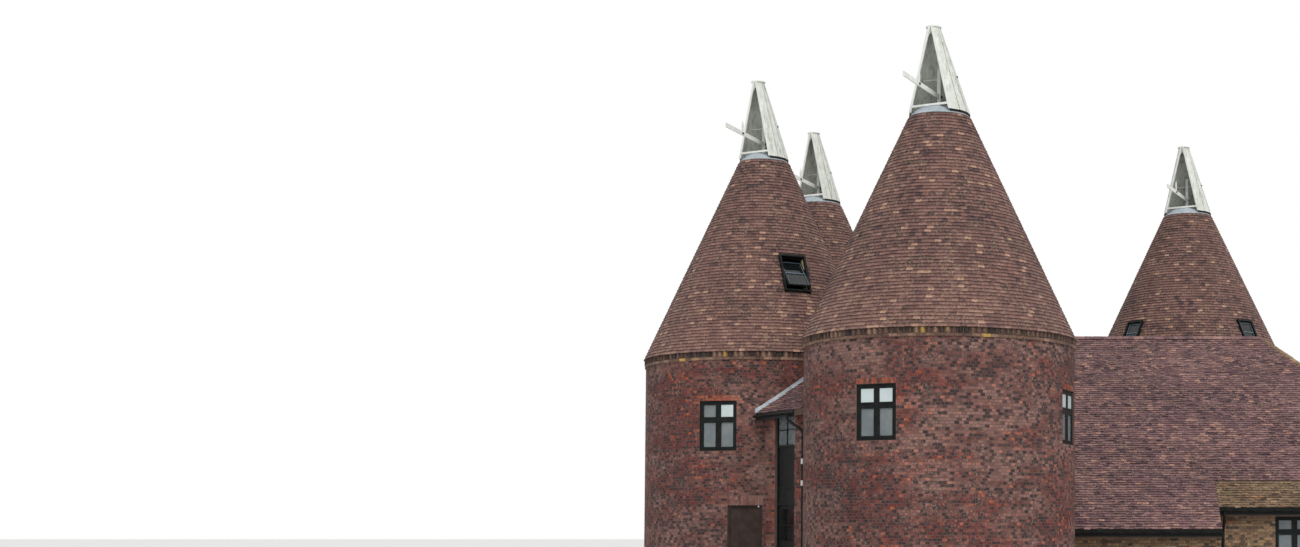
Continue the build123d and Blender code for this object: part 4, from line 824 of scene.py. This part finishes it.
for name, kiln in KILNS.items():
    foot_radius = kiln["radius"] + TILE_OVERHANG
    run, rise = foot_radius - kiln["curb"], CONE_TOP - EAVES
    slope = math.hypot(run, rise)
    courses = round(slope / GAUGE)
    gauge = slope / courses
    lean_out, lean_up = rise / slope, run / slope  # the slope's normal
    tiles, drift = [], []
    for course in range(courses):
        tail_at = course * gauge
        radius = foot_radius - run * tail_at / slope
        count = max(8, round(2 * math.pi * radius / TILE_WIDTH))
        step = 2 * math.pi / count
        turn = rng.random() * 0.3 * step + step / 2 * (course % 2)
        half = step / 2 - TILE_GAP / radius
        z = EAVES + rise * tail_at / slope
        darker = 0.5 * min(1.0, max(0.0, (z - 7.0) / 2.5))  # the upper courses are darker
        for i in range(count):
            a = i * step + turn
            degrees = (math.degrees(a) + 180) % 360 - 180
            middle = (kiln["x"] + radius * math.sin(a), kiln["y"] - radius * math.cos(a), z + 0.05)
            if in_rooflight(name, degrees, z + 0.04) or inside_kiln(middle, -0.03, name):
                continue
            uneven = rng.normal(0, (0.002, 0.003, 0.002))
            corners = []
            for b, up, height in tile_corners(a - half, a + half, gauge, *uneven):
                along = max(tail_at + up, 0.0)
                out = foot_radius - run * along / slope + lean_out * height
                z_at = EAVES + rise * along / slope + lean_up * height
                corners.append((kiln["x"] + out * math.sin(b), kiln["y"] - out * math.cos(b), z_at))
            tiles.append(corners)
            drift.append(0.5 + 0.5 * math.sin(a * 2.3 + z * 1.1) * math.cos(z * 0.8 - a) - darker)
    tints = tile_tints(drift)
    corners = np.array(tiles)
    repeat_shape(name + "_tiles", corners, TILE_FACES, "roof tile", "roof_tiles", tints, TILE_DIRT)

# %% [markdown]
# The straight slopes are tiled by the same rule. A slope is given by a point on its eaves, the
# ways along and up it, and how far each course runs at its height, which follows the hips, the
# low eaves beside the front kiln and the step between the two lower roofs. These old slopes have
# moved, so their courses rise and fall by a centimetre.

# %% Tiles of one slope
REPLACED = 0.18  # the share of tiles that were replaced, and have any shade


def slope_tiles(name, origin, along, up, length, span, material="barn roof tile"):
    """Tiles one plane slope. span gives where a course starts and ends, at a distance up it."""
    origin, along, up = Vector(origin), Vector(along).normalized(), Vector(up).normalized()
    normal = along.cross(up)
    courses = round(length / GAUGE)
    gauge = length / courses
    tiles, drift = [], []
    for course in range(courses):
        start, end = span((course + 0.5) * gauge)
        tail_at = course * gauge
        shift = TILE_WIDTH / 2 * (course % 2) + rng.random() * 0.02
        first = math.floor((start - shift) / TILE_WIDTH)
        last = math.ceil((end - shift) / TILE_WIDTH)
        for i in range(first, last + 1):
            low = max(shift + i * TILE_WIDTH + TILE_GAP, start)
            high = min(shift + (i + 1) * TILE_WIDTH - TILE_GAP, end)
            middle = origin + along * ((low + high) / 2) + up * (tail_at + gauge / 2)
            if high - low < 0.03 or inside_kiln(middle, 0.012):
                continue
            skew, slide, lift, turn = rng.normal(0, (0.005, 0.010, 0.004, 0.006))
            swell = math.sin(1.7 * low + 0.4 * course) * math.cos(0.31 * course - 0.6 * low)
            wave = 0.012 * (1 + swell) / 2
            tiles.append([
                tuple(origin + along * s + up * (tail_at + d) + normal * out)
                for s, d, out in tile_corners(low, high, gauge, skew, slide, abs(lift), turn, wave)
            ])
            drift.append(0.5 + 0.5 * math.sin(middle.x * 0.9 + 1.3) * math.cos(course * 0.17))
    tints = tile_tints(drift)
    replaced = rng.random(len(tints)) < REPLACED
    tints[replaced] = rng.random(replaced.sum())
    repeat_shape(name, np.array(tiles), TILE_FACES, material, "roof_tiles", tints, TILE_DIRT)


print("a helper for slopes is ready")

# %% Tiles of the barn and the lobby
CATSLIDE_Y, FRONT_Y, SEAM_Y, VERGE_X, HIP_X, BACK_Y = 2.003, 2.658, 3.4606, -2.1, 12.0, 10.9
HIP_FRONT_Y, STEP_X, RIDGE_END_X = 6.1, 7.5, 9.6
CATSLIDE_Z, HIP_Z = 1.65, 5.339
FRONT_Z = RIDGE_Z - (RIDGE_Y - FRONT_Y) * TAN
LOBBY_FOOT = LOBBY_A + LOBBY_OUT * LOBBY_OVERHANG + UP * LOBBY_EAVES


def front_span(d):
    y = CATSLIDE_Y + d * COS
    return (0.0, STEP_X) if y < SEAM_Y else (VERGE_X, HIP_X - max(0.0, y - HIP_FRONT_Y))


def back_span(d):
    y = BACK_Y - d * COS
    return -(RIDGE_END_X + y - RIDGE_Y), -VERGE_X


def hip_span(d):
    return HIP_FRONT_Y + d * COS, BACK_Y - d * COS


LOBBY_UP = UP * math.sin(LOBBY_PITCH) - LOBBY_OUT * math.cos(LOBBY_PITCH)
LOBBY_SLOPE = (LOBBY_OVERHANG + LOBBY_DEPTH) / math.cos(LOBBY_PITCH)
for name, *slope in (  # a point on the eaves, the ways along and up, the length of the slope
    ("front_roof", (0, CATSLIDE_Y, CATSLIDE_Z), RIGHT, (0, COS, SIN), (RIDGE_Y - CATSLIDE_Y) / COS,
     front_span),
    ("front_eaves", (0, FRONT_Y, FRONT_Z), RIGHT, (0, COS, SIN), (SEAM_Y - FRONT_Y) / COS,
     lambda d: (STEP_X, HIP_X), "old roof tile"),
    ("back_roof", (0, BACK_Y, HIP_Z), LEFT, (0, -COS, SIN), (BACK_Y - RIDGE_Y) / COS, back_span),
    ("hip_roof", (HIP_X, 0, HIP_Z), BACK, (-COS, 0, SIN), (HIP_X - RIDGE_END_X) / COS, hip_span),
    ("lobby_roof", LOBBY_FOOT, LOBBY_ALONG, LOBBY_UP, LOBBY_SLOPE, lambda d: (-1.2, 3.4)),
):
    slope_tiles(name + "_tiles", *slope)

# %% [markdown]
# ## Ridge and hip tiles
#
# A ridge is closed by half-round tiles bedded in mortar, each about 300 mm long, and the hips by
# the same tiles laid up the slope. One function lays them along a line between two points: each is
# a short half tube with a real thickness, set a little off from its neighbour.

# %% Half-round tiles on the ridge and hips
SIDES, CLAY_THICK, BEDDED = 8, 0.014, 0.05


def half_round_faces():
    """Outside, inside and both ends of a half tube, then its two long edges."""
    n = SIDES + 1
    faces = []
    for k in range(SIDES):
        faces += [
            (k, k + 1, 2 * n + k + 1, 2 * n + k), (n + k + 1, n + k, 3 * n + k, 3 * n + k + 1),
            (k + 1, k, n + k, n + k + 1), (2 * n + k, 2 * n + k + 1, 3 * n + k + 1, 3 * n + k),
        ]
    return faces + [(0, 2 * n, 3 * n, n), (SIDES, n + SIDES, 3 * n + SIDES, 2 * n + SIDES)]


def half_rounds(name, lines, radius, length, material):
    turns = [math.pi * k / SIDES for k in range(SIDES + 1)]
    corners, tints = [], []
    for start, end in lines:
        start, end = Vector(start), Vector(end)
        way = (end - start).normalized()
        across = way.cross(UP).normalized()
        up = across.cross(way)
        number = round((end - start).length / length)
        step = (end - start).length / number
        ends = ((0.004, radius), (step + 0.008, radius - 0.006))  # the far end goes under the next
        for i in range(number):
            middle = start + way * (i * step) + up * rng.normal(0, 0.003)
            corners.append([
                tuple(middle + way * at + across * (r * math.cos(a)) + up * (r * 0.8 * math.sin(a)))
                for at, outer in ends for r in (outer, outer - CLAY_THICK) for a in turns
            ])
            tints.append(rng.beta(2, 2))
    repeat_shape(name, np.array(corners), half_round_faces(), material, "roof_tiles", tints)


ridge_end = (RIDGE_END_X, RIDGE_Y, RIDGE_Z - BEDDED)
ridge = ((VERGE_X, RIDGE_Y, RIDGE_Z - BEDDED), ridge_end)
hips = [((HIP_X - BEDDED, y, HIP_Z), ridge_end) for y in (HIP_FRONT_Y + BEDDED, BACK_Y - BEDDED)]
half_rounds("ridge_tiles", [ridge], 0.125, 0.30, "barn roof tile")
half_rounds("hip_tiles", hips, 0.105, 0.22, "old roof tile")

# %% [markdown]
# ## Lead flashings
#
# Where a roof meets a round wall, the joint is dressed with lead: a part that stands up against
# the bricks and a part that laps over the tiles. Both follow the line where the plane of the roof
# cuts the circle of the wall, so the strip is built point by point round the kiln, and thickened
# with a Solidify modifier.

# %% Lead along the round walls
def flashing(name, kiln, start, end, slope_z, upstand=0.15, lap=0.15):
    """Lead on a round wall from one azimuth to another. slope_z gives the height of the roof."""
    steps = max(6, int(abs(end - start) / 1.5))
    points = []
    for i in range(steps + 1):
        azimuth = start + (end - start) * i / steps
        ripple = 0.006 * math.sin(i * 1.9)
        at_wall = slope_z(around(kiln, azimuth, kiln["radius"], 0))
        profile = [(0.006, at_wall + upstand + ripple), (0.008, at_wall + 0.045)]
        for out, over in ((0.030, 0.030), (lap + ripple, 0.026)):
            profile.append((out, slope_z(around(kiln, azimuth, kiln["radius"] + out, 0)) + over))
        points += [tuple(around(kiln, azimuth, kiln["radius"] + out, z)) for out, z in profile]
    faces = [(j, j + 4, j + 5, j + 1) for i in range(steps) for j in range(4 * i, 4 * i + 3)]
    piece = new_piece(name, points, faces, "lead sheet", "lead_sheet")
    sheet = piece.modifiers.new("thickness", "SOLIDIFY")
    sheet.thickness, sheet.offset = 0.004, 1.0


for kiln, roof, *strip in (
    ("front_kiln", "barn", 126.0, 180.0, barn_slope_z),
    ("left_kiln", "barn", 73.0, 107.0, barn_slope_z),
    ("back_left_kiln", "barn", 45.0, 70.0, barn_slope_z),
    ("right_kiln", "barn", -21.5, 21.5, barn_slope_z),
    ("left_kiln", "lobby", 4.0, 36.0, lobby_slope_z, 0.12, 0.09),
):
    flashing(f"{kiln}_{roof}_flashing", KILNS[kiln], *strip)
print("flashings dressed")

# %% [markdown]
# ## Parts made from sections
#
# Casements, cowl irons and door furniture are made from boards with eased edges and from turned
# or bent bars. A collector gathers boxes, turned shapes and tubes into one mesh, and a Bevel
# modifier eases the edges, because a sharp edge catches no light.

# %% A collector for joinery and ironwork
class Parts:
    """Gathers the points and faces of one piece."""

    def __init__(self):
        self.points, self.faces = [], []

    def swept(self, sections, closed=False):
        """Joins sections of equally many points, from first to last, or all the way round."""
        count, n = len(sections), len(sections[0])
        faces = []
        for i in range(count if closed else count - 1):
            for k in range(n):
                j, m = (k + 1) % n, (i + 1) % count
                faces.append((i * n + k, i * n + j, m * n + j, m * n + k))
        if not closed:
            faces += [tuple(range(n))[::-1], tuple(range((count - 1) * n, count * n))]
        base = len(self.points)
        self.points += [tuple(point) for section in sections for point in section]
        self.faces += [tuple(base + i for i in face) for face in faces]

    def board(self, middle, x, y, z):
        """A board round middle. x, y and z run from the middle to its sides."""
        corners = ((-1, -1), (1, -1), (1, 1), (-1, 1))
        self.swept([[middle + x * i + y * j + z * k for j, k in corners] for i in (-1, 1)])

    def sash(self, middle, across, up, depth, width, height, rail):
        """Two stiles and, between them, two rails. depth runs from the middle to the face."""
        for k in (-1, 1):
            stile_at, rail_at = across * (k * (width - rail) / 2), up * (k * (height - rail) / 2)
            self.board(middle + stile_at, across * (rail / 2), depth, up * (height / 2))
            self.board(middle + rail_at, across * (width / 2 - rail), depth, up * (rail / 2))

    def turned(self, foot, way, profile, sides):
        """A turned shape. profile lists how far along and how far out each ring is."""
        way = way.normalized()
        side = way.orthogonal().normalized()
        other = way.cross(side)
        turns = [2 * math.pi * k / sides for k in range(sides)]
        self.swept([
            [foot + way * along + (side * math.cos(a) + other * math.sin(a)) * out for a in turns]
            for along, out in profile
        ])

    def hoop(self, middle, across, up, radius, thick):
        """A ring bent from round bar, in the plane of across and up."""
        through = across.cross(up)
        turns = [math.pi * j / 4 for j in range(8)]
        sections = []
        for k in range(20):
            way = across * math.cos(math.pi * k / 10) + up * math.sin(math.pi * k / 10)
            sections.append([
                middle + way * (radius + thick * math.cos(b)) + through * (thick * math.sin(b))
                for b in turns
            ])
        self.swept(sections, closed=True)

    def make(self, name, material, slot, body="root", ease=0.0):
        """Makes the piece. ease is how far its edges are rounded."""
        piece = new_piece(name, self.points, self.faces, material, slot, body)
        bm = bmesh.new()
        bm.from_mesh(piece.data)
        bmesh.ops.recalc_face_normals(bm, faces=bm.faces[:])
        bm.to_mesh(piece.data)
        bm.free()
        if ease:
            bevel = piece.modifiers.new("eased edges", "BEVEL")
            bevel.width, bevel.segments, bevel.limit_method = ease, 2, "ANGLE"
        print(name, len(piece.data.polygons), "faces")


print("collector ready")

# %% [markdown]
# ## Casements
#
# Each window has four opening lights: two small ones over two tall ones, each a sash of its own in
# the fixed frame. The model has the frame and the panes. The sashes are added here as four rails
# each, a little in front of the frame, so that every light gets the double line of the photograph.
# The kilns' small top lights look white from outside, where they give back the sky, so each gets a
# thin pane of its own painted near white as that reflection.

# %% Casements in every window
FRAME_MEMBER, SASH, SASH_DEPTH, TRANSOM_SHARE, REVEAL = 0.062, 0.046, 0.016, 0.36, 0.07
CLEAR_PANE = ("left_kiln", -14.0, 0)  # one top pane, on the left of its window, gets no painted reflection
casements, top_panes = Parts(), Parts()


def add_casements(middle, out, height):
    """Four sashes in a window whose outer face is at middle. Returns where the top panes are."""
    across = UP.cross(out)
    light = (WINDOW_WIDTH - 3 * FRAME_MEMBER) / 2
    free = height - 3 * FRAME_MEMBER
    low_tall = free * (1 - TRANSOM_SHARE)
    low_foot = -height / 2 + FRAME_MEMBER
    rows = ((low_foot, low_tall), (low_foot + low_tall + FRAME_MEMBER, free - low_tall))
    top_lights = []
    for side in (-1, 1):
        centre = middle + across * (side * (light + FRAME_MEMBER) / 2) - out * 0.010
        for foot, tall in rows:
            at = centre + UP * (foot + tall / 2)
            casements.sash(at, across, UP, out * SASH_DEPTH, light, tall, SASH)
        top_lights.append((at, across * (light / 2 - SASH), out * 0.003, UP * (tall / 2 - SASH)))
    return top_lights


for name, kiln in KILNS.items():
    for azimuth in kiln["windows"]:
        middle = around(kiln, azimuth, kiln["radius"] - REVEAL, (WINDOW_SILL + WINDOW_HEAD) / 2)
        lights = add_casements(middle, facing(azimuth)[0], WINDOW_HEAD - WINDOW_SILL)
        for side, pane in enumerate(lights):
            if (name, azimuth, side) != CLEAR_PANE:
                top_panes.board(*pane)
for wall, windows in BARN_WINDOWS.items():
    start, along, out = (Vector(v) for v in WALLS[wall][1][0][:3])
    for at, sill in windows:
        middle = start + along * at - out * REVEAL + UP * (sill + BARN_WINDOW_HEIGHT / 2)
        add_casements(middle, out, BARN_WINDOW_HEIGHT)
casements.make("casements", "black paint", "black_timber", ease=0.003)
# the top panes are painted near white, as the sky's reflection
top_panes.make("whitened_top_panes", "whitened glass", "window_glass")

# %% [markdown]
# ## Rooflights
#
# The rooflights turn on pivots halfway up their sides, and the one on the left kiln stands open.
# Round each pane runs a blue-grey bead, a bar crosses it at the height of the pivots, and inside
# the roof one sees the pale pine lining of the right-hand side. Each piece is placed in the plane
# of its own sash, so an open one carries its bead along.

# %% Beads, bars and linings of the rooflights
OPENED = {"left_kiln": math.radians(20.0)}
BEAD, BEAD_DEPTH, SASH_FACE = 0.022, 0.007, 0.016
PANE_IN, PANE_UP = 0.105, 0.117  # from the hole's sides and ends to the middle of the bead
beads, linings = Parts(), Parts()
for name, lights in ROOFLIGHTS.items():
    kiln, opened = KILNS[name], OPENED.get(name, 0.0)
    lean = math.atan2(kiln["radius"] + TILE_OVERHANG - kiln["curb"], CONE_TOP - EAVES)
    for azimuth, height, width, length in lights:
        level, across = facing(azimuth)
        normal = level * math.cos(lean) + UP * math.sin(lean)
        up_slope = normal.cross(across)
        middle = around(kiln, azimuth, cone_radius(kiln, height), height)
        up = up_slope * math.cos(opened) - normal * math.sin(opened)
        out = normal * math.cos(opened) + up_slope * math.sin(opened)
        wide, tall = width - 2 * PANE_IN + BEAD, length - 2 * PANE_UP + BEAD
        beads.sash(middle + out * SASH_FACE, across, up, out * BEAD_DEPTH, wide, tall, BEAD)
        beads.board(middle + out * 0.018, across * (wide / 2 - BEAD), out * 0.005, up * 0.012)
        lining = middle + across * (width / 2 - 0.062) - normal * 0.14
        linings.board(lining, across * 0.006, normal * 0.10, up_slope * (length / 2 - 0.07))
beads.make("rooflight_beads", "blue-grey paint", "black_timber", ease=0.002)
linings.make("rooflight_linings", "pine", "oak", ease=0.002)

# %% [markdown]
# ## Irons of the cowls
#
# Under the feet of the staves, a black iron ring keeps them together, and its black also paints the
# shadow of the gap over the curb; it stops at the edges of the mouth. The tie bar comes through the
# staves on both sides, and there it has a washer and a nut.
# The vane's arm is bolted to the post and again where the small board stands on it. The joints
# between the staves are drawn by thin dark beads: dirt in the joints, and painted shade of their
# grooves.

# %% Sizes of the cowls
COWL_FOOT, COWL_TOP, COWL_LEAN, COWL_TOP_RADIUS, STAVES = 12.34, 14.53, 0.33, 0.17, 16
MOUTH_EDGE, ARM_RISE = math.radians(48.0), math.radians(5.0)
TIE_Z, ARM_Z, BOARD_AT = 13.27, 12.80, 1.12
AHEAD, ASIDE = facing(COWL_AZIMUTH)
RING_STEPS = 66
# the section of the black ring, dark iron that also paints the shadow under the staves
RING = ((0.001, -0.046), (0.001, -0.001), (-0.026, -0.001), (-0.026, -0.046))
NUT = ((0, 0.036), (0.008, 0.036), (0.009, 0.021), (0.028, 0.021), (0.030, 0.016))


def from_mouth(a):
    """The level way out of a cowl, at an angle from the middle of its mouth."""
    return AHEAD * math.cos(a) + ASIDE * math.sin(a)


def staves_radius(kiln, share):
    """The outer radius of the staves at a share of their height."""
    return kiln["curb"] + (COWL_TOP_RADIUS - kiln["curb"]) * share


print("the cowls lean by", COWL_LEAN, "m in", round(COWL_TOP - COWL_FOOT, 2), "m")

# %% Rings, nuts, bolts and seams of the cowls
def cowl_irons(name, kiln, axis):
    """The ring, as a section carried round, then a nut at each end of the bar and of the bolts. The
    ring's black also paints the shadow under the staves' feet.
    """
    irons, ring = Parts(), []
    flat = 2 * math.pi / STAVES  # the ring follows the flats of the staves
    for k in range(RING_STEPS + 1):
        a = MOUTH_EDGE + (2 * math.pi - 2 * MOUTH_EDGE) * k / RING_STEPS
        radius = kiln["curb"] * (math.cos(flat / 2) / math.cos(a % flat - flat / 2))
        way = from_mouth(a)
        ring.append([axis + way * (radius + out) + UP * (COWL_FOOT + z) for out, z in RING])
    irons.swept(ring)
    share = (TIE_Z - COWL_FOOT) / (COWL_TOP - COWL_FOOT)
    nearest = staves_radius(kiln, share) * 0.983  # the flat of a stave is nearer than its edges
    tie_end = math.sqrt(nearest**2 - (COWL_LEAN * share) ** 2) - 0.004
    on_arm = ARM_Z + BOARD_AT * math.tan(ARM_RISE)
    bars = ((0, tie_end, TIE_Z), (0, 0.048, ARM_Z), (BOARD_AT, 0.014, on_arm))
    for k in (-1, 1):
        for ahead, aside, z in bars:
            foot = axis + AHEAD * ahead + ASIDE * (k * aside) + UP * z
            irons.turned(foot, ASIDE * k, NUT, 6)
    irons.make(name + "_irons", "black iron", "black_iron", name)


def cowl_seams(name, kiln, axis):
    """A dark bead over each joint between two staves, for its dirt and the painted shade of its
    groove.
    The mouth has taken the other joints.
    """
    seams = Parts()
    for k in range(3, STAVES - 2):
        way = from_mouth(2 * math.pi * k / STAVES)
        along = UP.cross(way)
        strip = []
        for share in (0.012, 0.985):
            z = COWL_FOOT + (COWL_TOP - COWL_FOOT) * share
            middle = axis + AHEAD * (COWL_LEAN * share) + way * staves_radius(kiln, share) + UP * z
            half = 0.006 - 0.003 * share
            section = ((-0.004, -half), (0.0015, -half), (0.0015, half), (-0.004, half))
            strip.append([middle + way * out + along * side for out, side in section])
        seams.swept(strip)
    seams.make(name + "_seams", "old putty", "white_timber", name)


for name, kiln in KILNS.items():
    axis = Vector((kiln["x"], kiln["y"], 0))
    cowl_irons(name + "_cowl", kiln, axis)
    cowl_seams(name + "_cowl", kiln, axis)

# %% [markdown]
# ## Gutter brackets, pipe collars, lamp and door furniture
#
# Small things that a visitor notices without looking for them: the brackets that carry the
# gutters, the collars and clips on the pipes, the white lamp on the head of the boarded door's
# frame, a ring handle on each door. They are turned or bent from simple sections, sized by the
# hand that uses them.

# %% Brackets under the gutters
GUTTER_OUT, GUTTER_DROP, GUTTER_RADIUS = 0.0809, 0.060, 0.058
STRAP = ((0.0005, -0.012), (0.0005, 0.012), (0.005, 0.012), (0.005, -0.012))
GUTTERS = (  # a point under the eaves, the ways along and out, the eaves' height, the brackets
    (LOBBY_A + LOBBY_OUT * LOBBY_OVERHANG, LOBBY_ALONG, LOBBY_OUT, LOBBY_EAVES, (0.12, 0.9, 1.66)),
    (BACK * CATSLIDE_Y, RIGHT, FRONT, CATSLIDE_Z, (3.1, 4.0, 4.9, 5.8, 6.7, 7.4)),
    (BACK * FRONT_Y, RIGHT, FRONT, FRONT_Z, (8.0, 8.8, 9.6, 10.4, 11.2, 11.9)),
    (RIGHT * HIP_X, BACK, RIGHT, HIP_Z, (6.3, 7.2, 8.1, 9.0, 9.9, 10.7)),
)
brackets = Parts()
for origin, along, out, eaves_z, places in GUTTERS:
    for place in places:
        middle = origin + along * place + out * GUTTER_OUT + UP * (eaves_z - GUTTER_DROP)
        strap = []
        for k in range(11):
            a = math.pi * (1 + k / 10)
            way = out * math.cos(a) + UP * math.sin(a)
            on_arc = middle + way * GUTTER_RADIUS
            strap.append([on_arc + way * grow + along * side for grow, side in STRAP])
        brackets.swept(strap)
        plate = middle - out * (GUTTER_RADIUS - 0.001) - UP * 0.02
        brackets.board(plate, along * 0.012, out * 0.003, UP * 0.055)
brackets.make("gutter_brackets", "black iron", "black_iron")

# %% Collars and clips on the pipes
LOBBY_PIPE = LOBBY_A + LOBBY_ALONG * 2.219 + LOBBY_OUT * 0.060
RIGHT_PIPE = Vector((7.644, 2.858, 0))
COLLAR = ((0, 0.0362), (0.004, 0.043), (0.056, 0.043), (0.060, 0.0362))
CLIP = ((0, 0.0362), (0.003, 0.044), (0.137, 0.044), (0.140, 0.0362))
collars, clips = Parts(), Parts()
for pipe, z in ((LOBBY_PIPE, 1.10), (LOBBY_PIPE, 2.0), (RIGHT_PIPE, 0.9)):
    collars.turned(pipe + UP * z, UP, COLLAR, 20)
for z in (2.77, 3.33):
    clips.turned(LOBBY_PIPE + UP * z, UP, CLIP, 20)
collars.make("pipe_collars", "gutter black", "black_iron")
clips.make("pipe_clips", "lamp white", "white_timber")

# %% Door furniture and lamp
LAMP = ((0, 0.028), (0.010, 0.028), (0.014, 0.024), (0.038, 0.023), (0.052, 0.016), (0.058, 0.006))
BOSS = (
    (-0.001, 0.034), (0.004, 0.034), (0.007, 0.026), (0.018, 0.010), (0.026, 0.010), (0.028, 0.006),
)
HANDLE_Z, HOOP_RADIUS = 1.08, 0.036
BOARDED_DOOR = -0.5  # azimuth of its middle, on the left kiln
door_out, door_across = facing(BOARDED_DOOR)
left_kiln = KILNS["left_kiln"]
lamp = Parts()
on_frame = around(left_kiln, BOARDED_DOOR, left_kiln["radius"] - 0.073, 2.262)
lamp.turned(on_frame + door_across * 0.363, door_out, LAMP, 20)
lamp.make("door_lamp", "lamp white", "white_timber")

DOORS = {
    "lobby_door": (LOBBY_A + LOBBY_ALONG * 1.55 - LOBBY_OUT * 0.090, LOBBY_ALONG, LOBBY_OUT),
    "kiln_door": (Vector((-4.936, 2.2987, 0)), door_across, door_out),
}
for name, (place, across, out) in DOORS.items():
    handle, boss = Parts(), place + UP * HANDLE_Z
    handle.turned(boss, out, BOSS, 20)
    handle.hoop(boss - UP * HOOP_RADIUS + out * 0.022, across, UP, HOOP_RADIUS, 0.005)
    handle.make(name + "_handle", "black iron", "black_iron", name)
print("small parts made")

# %% [markdown]
# ## Floor, light and camera
#
# The studio is a plain pale floor under an even white sky, with one broad soft lamp from the front
# left to give the walls their round. The sky that the camera and the glass see is kept apart from
# the light on the house, so the background can be white while the bricks keep their colour. The
# camera stands where the photographer stood, on the ground before the front kiln, and looks up a
# few degrees.

# %% Floor and light
FLOOR = [(-300, -300, -0.002), (300, -300, -0.002), (300, 300, -0.002), (-300, 300, -0.002)]
floor_mesh = bpy.data.meshes.new("floor")
floor_mesh.from_pydata(FLOOR, [], [(0, 1, 2, 3)])
floor = bpy.data.objects.new("floor", floor_mesh)
bpy.context.scene.collection.objects.link(floor)
bench, shader, where = new_material("pale floor", {"Roughness": 0.9})
soft = bench.mix(bench.noise(where, 0.4, 3.0), colour(222, 222, 220), colour(230, 230, 228))
bench.feed(shader.inputs["Base Color"], soft)
floor_mesh.materials.append(MATERIALS["pale floor"])

world = bpy.data.worlds.new("studio sky")
bpy.context.scene.world = world
world.use_nodes = True
world.node_tree.nodes.clear()
bench = Bench(world.node_tree)
path = bench.add("ShaderNodeLightPath").outputs
seen = bench.calc("MAXIMUM", path["Is Camera Ray"], path["Is Glossy Ray"])
seen = bench.calc("MAXIMUM", seen, path["Is Transmission Ray"])
lit = bench.add("ShaderNodeBackground", {"Color": (0.93, 0.96, 1.0, 1.0), "Strength": 0.62})
shown = bench.add("ShaderNodeBackground", {"Color": (1.0, 1.0, 1.0, 1.0), "Strength": 1.0})
both = bench.add("ShaderNodeMixShader", {0: seen, 1: lit.outputs[0], 2: shown.outputs[0]})
bench.add("ShaderNodeOutputWorld", {"Surface": both.outputs[0]})

lamp_data = bpy.data.lights.new("soft lamp", "SUN")
lamp_data.energy, lamp_data.angle, lamp_data.color = 1.9, math.radians(35.0), (1.0, 0.97, 0.93)
soft_lamp = bpy.data.objects.new("soft lamp", lamp_data)
soft_lamp.rotation_euler = Vector((0.35, -1.0, 1.05)).to_track_quat("Z", "Y").to_euler()
bpy.context.scene.collection.objects.link(soft_lamp)
bpy.context.scene.view_settings.view_transform = "Standard"
print("floor and light set")

# %% The camera
camera_data = bpy.data.cameras.new("camera")
camera_data.sensor_width = 36.0
camera_data.lens = 36.0 * 1741 / 1300  # focal length and width of the photograph, in pixels
camera_data.shift_x = -0.26
camera_data.shift_y = 0.128
camera_data.clip_end = 500
camera = bpy.data.objects.new("camera", camera_data)
camera.location = (1.25, -44.5, 1.6)
camera.rotation_euler = (math.radians(90 + 3.0), 0.0, 0.0)
bpy.context.scene.collection.objects.link(camera)
bpy.context.scene.camera = camera
print("camera lens", round(camera_data.lens, 1), "mm")
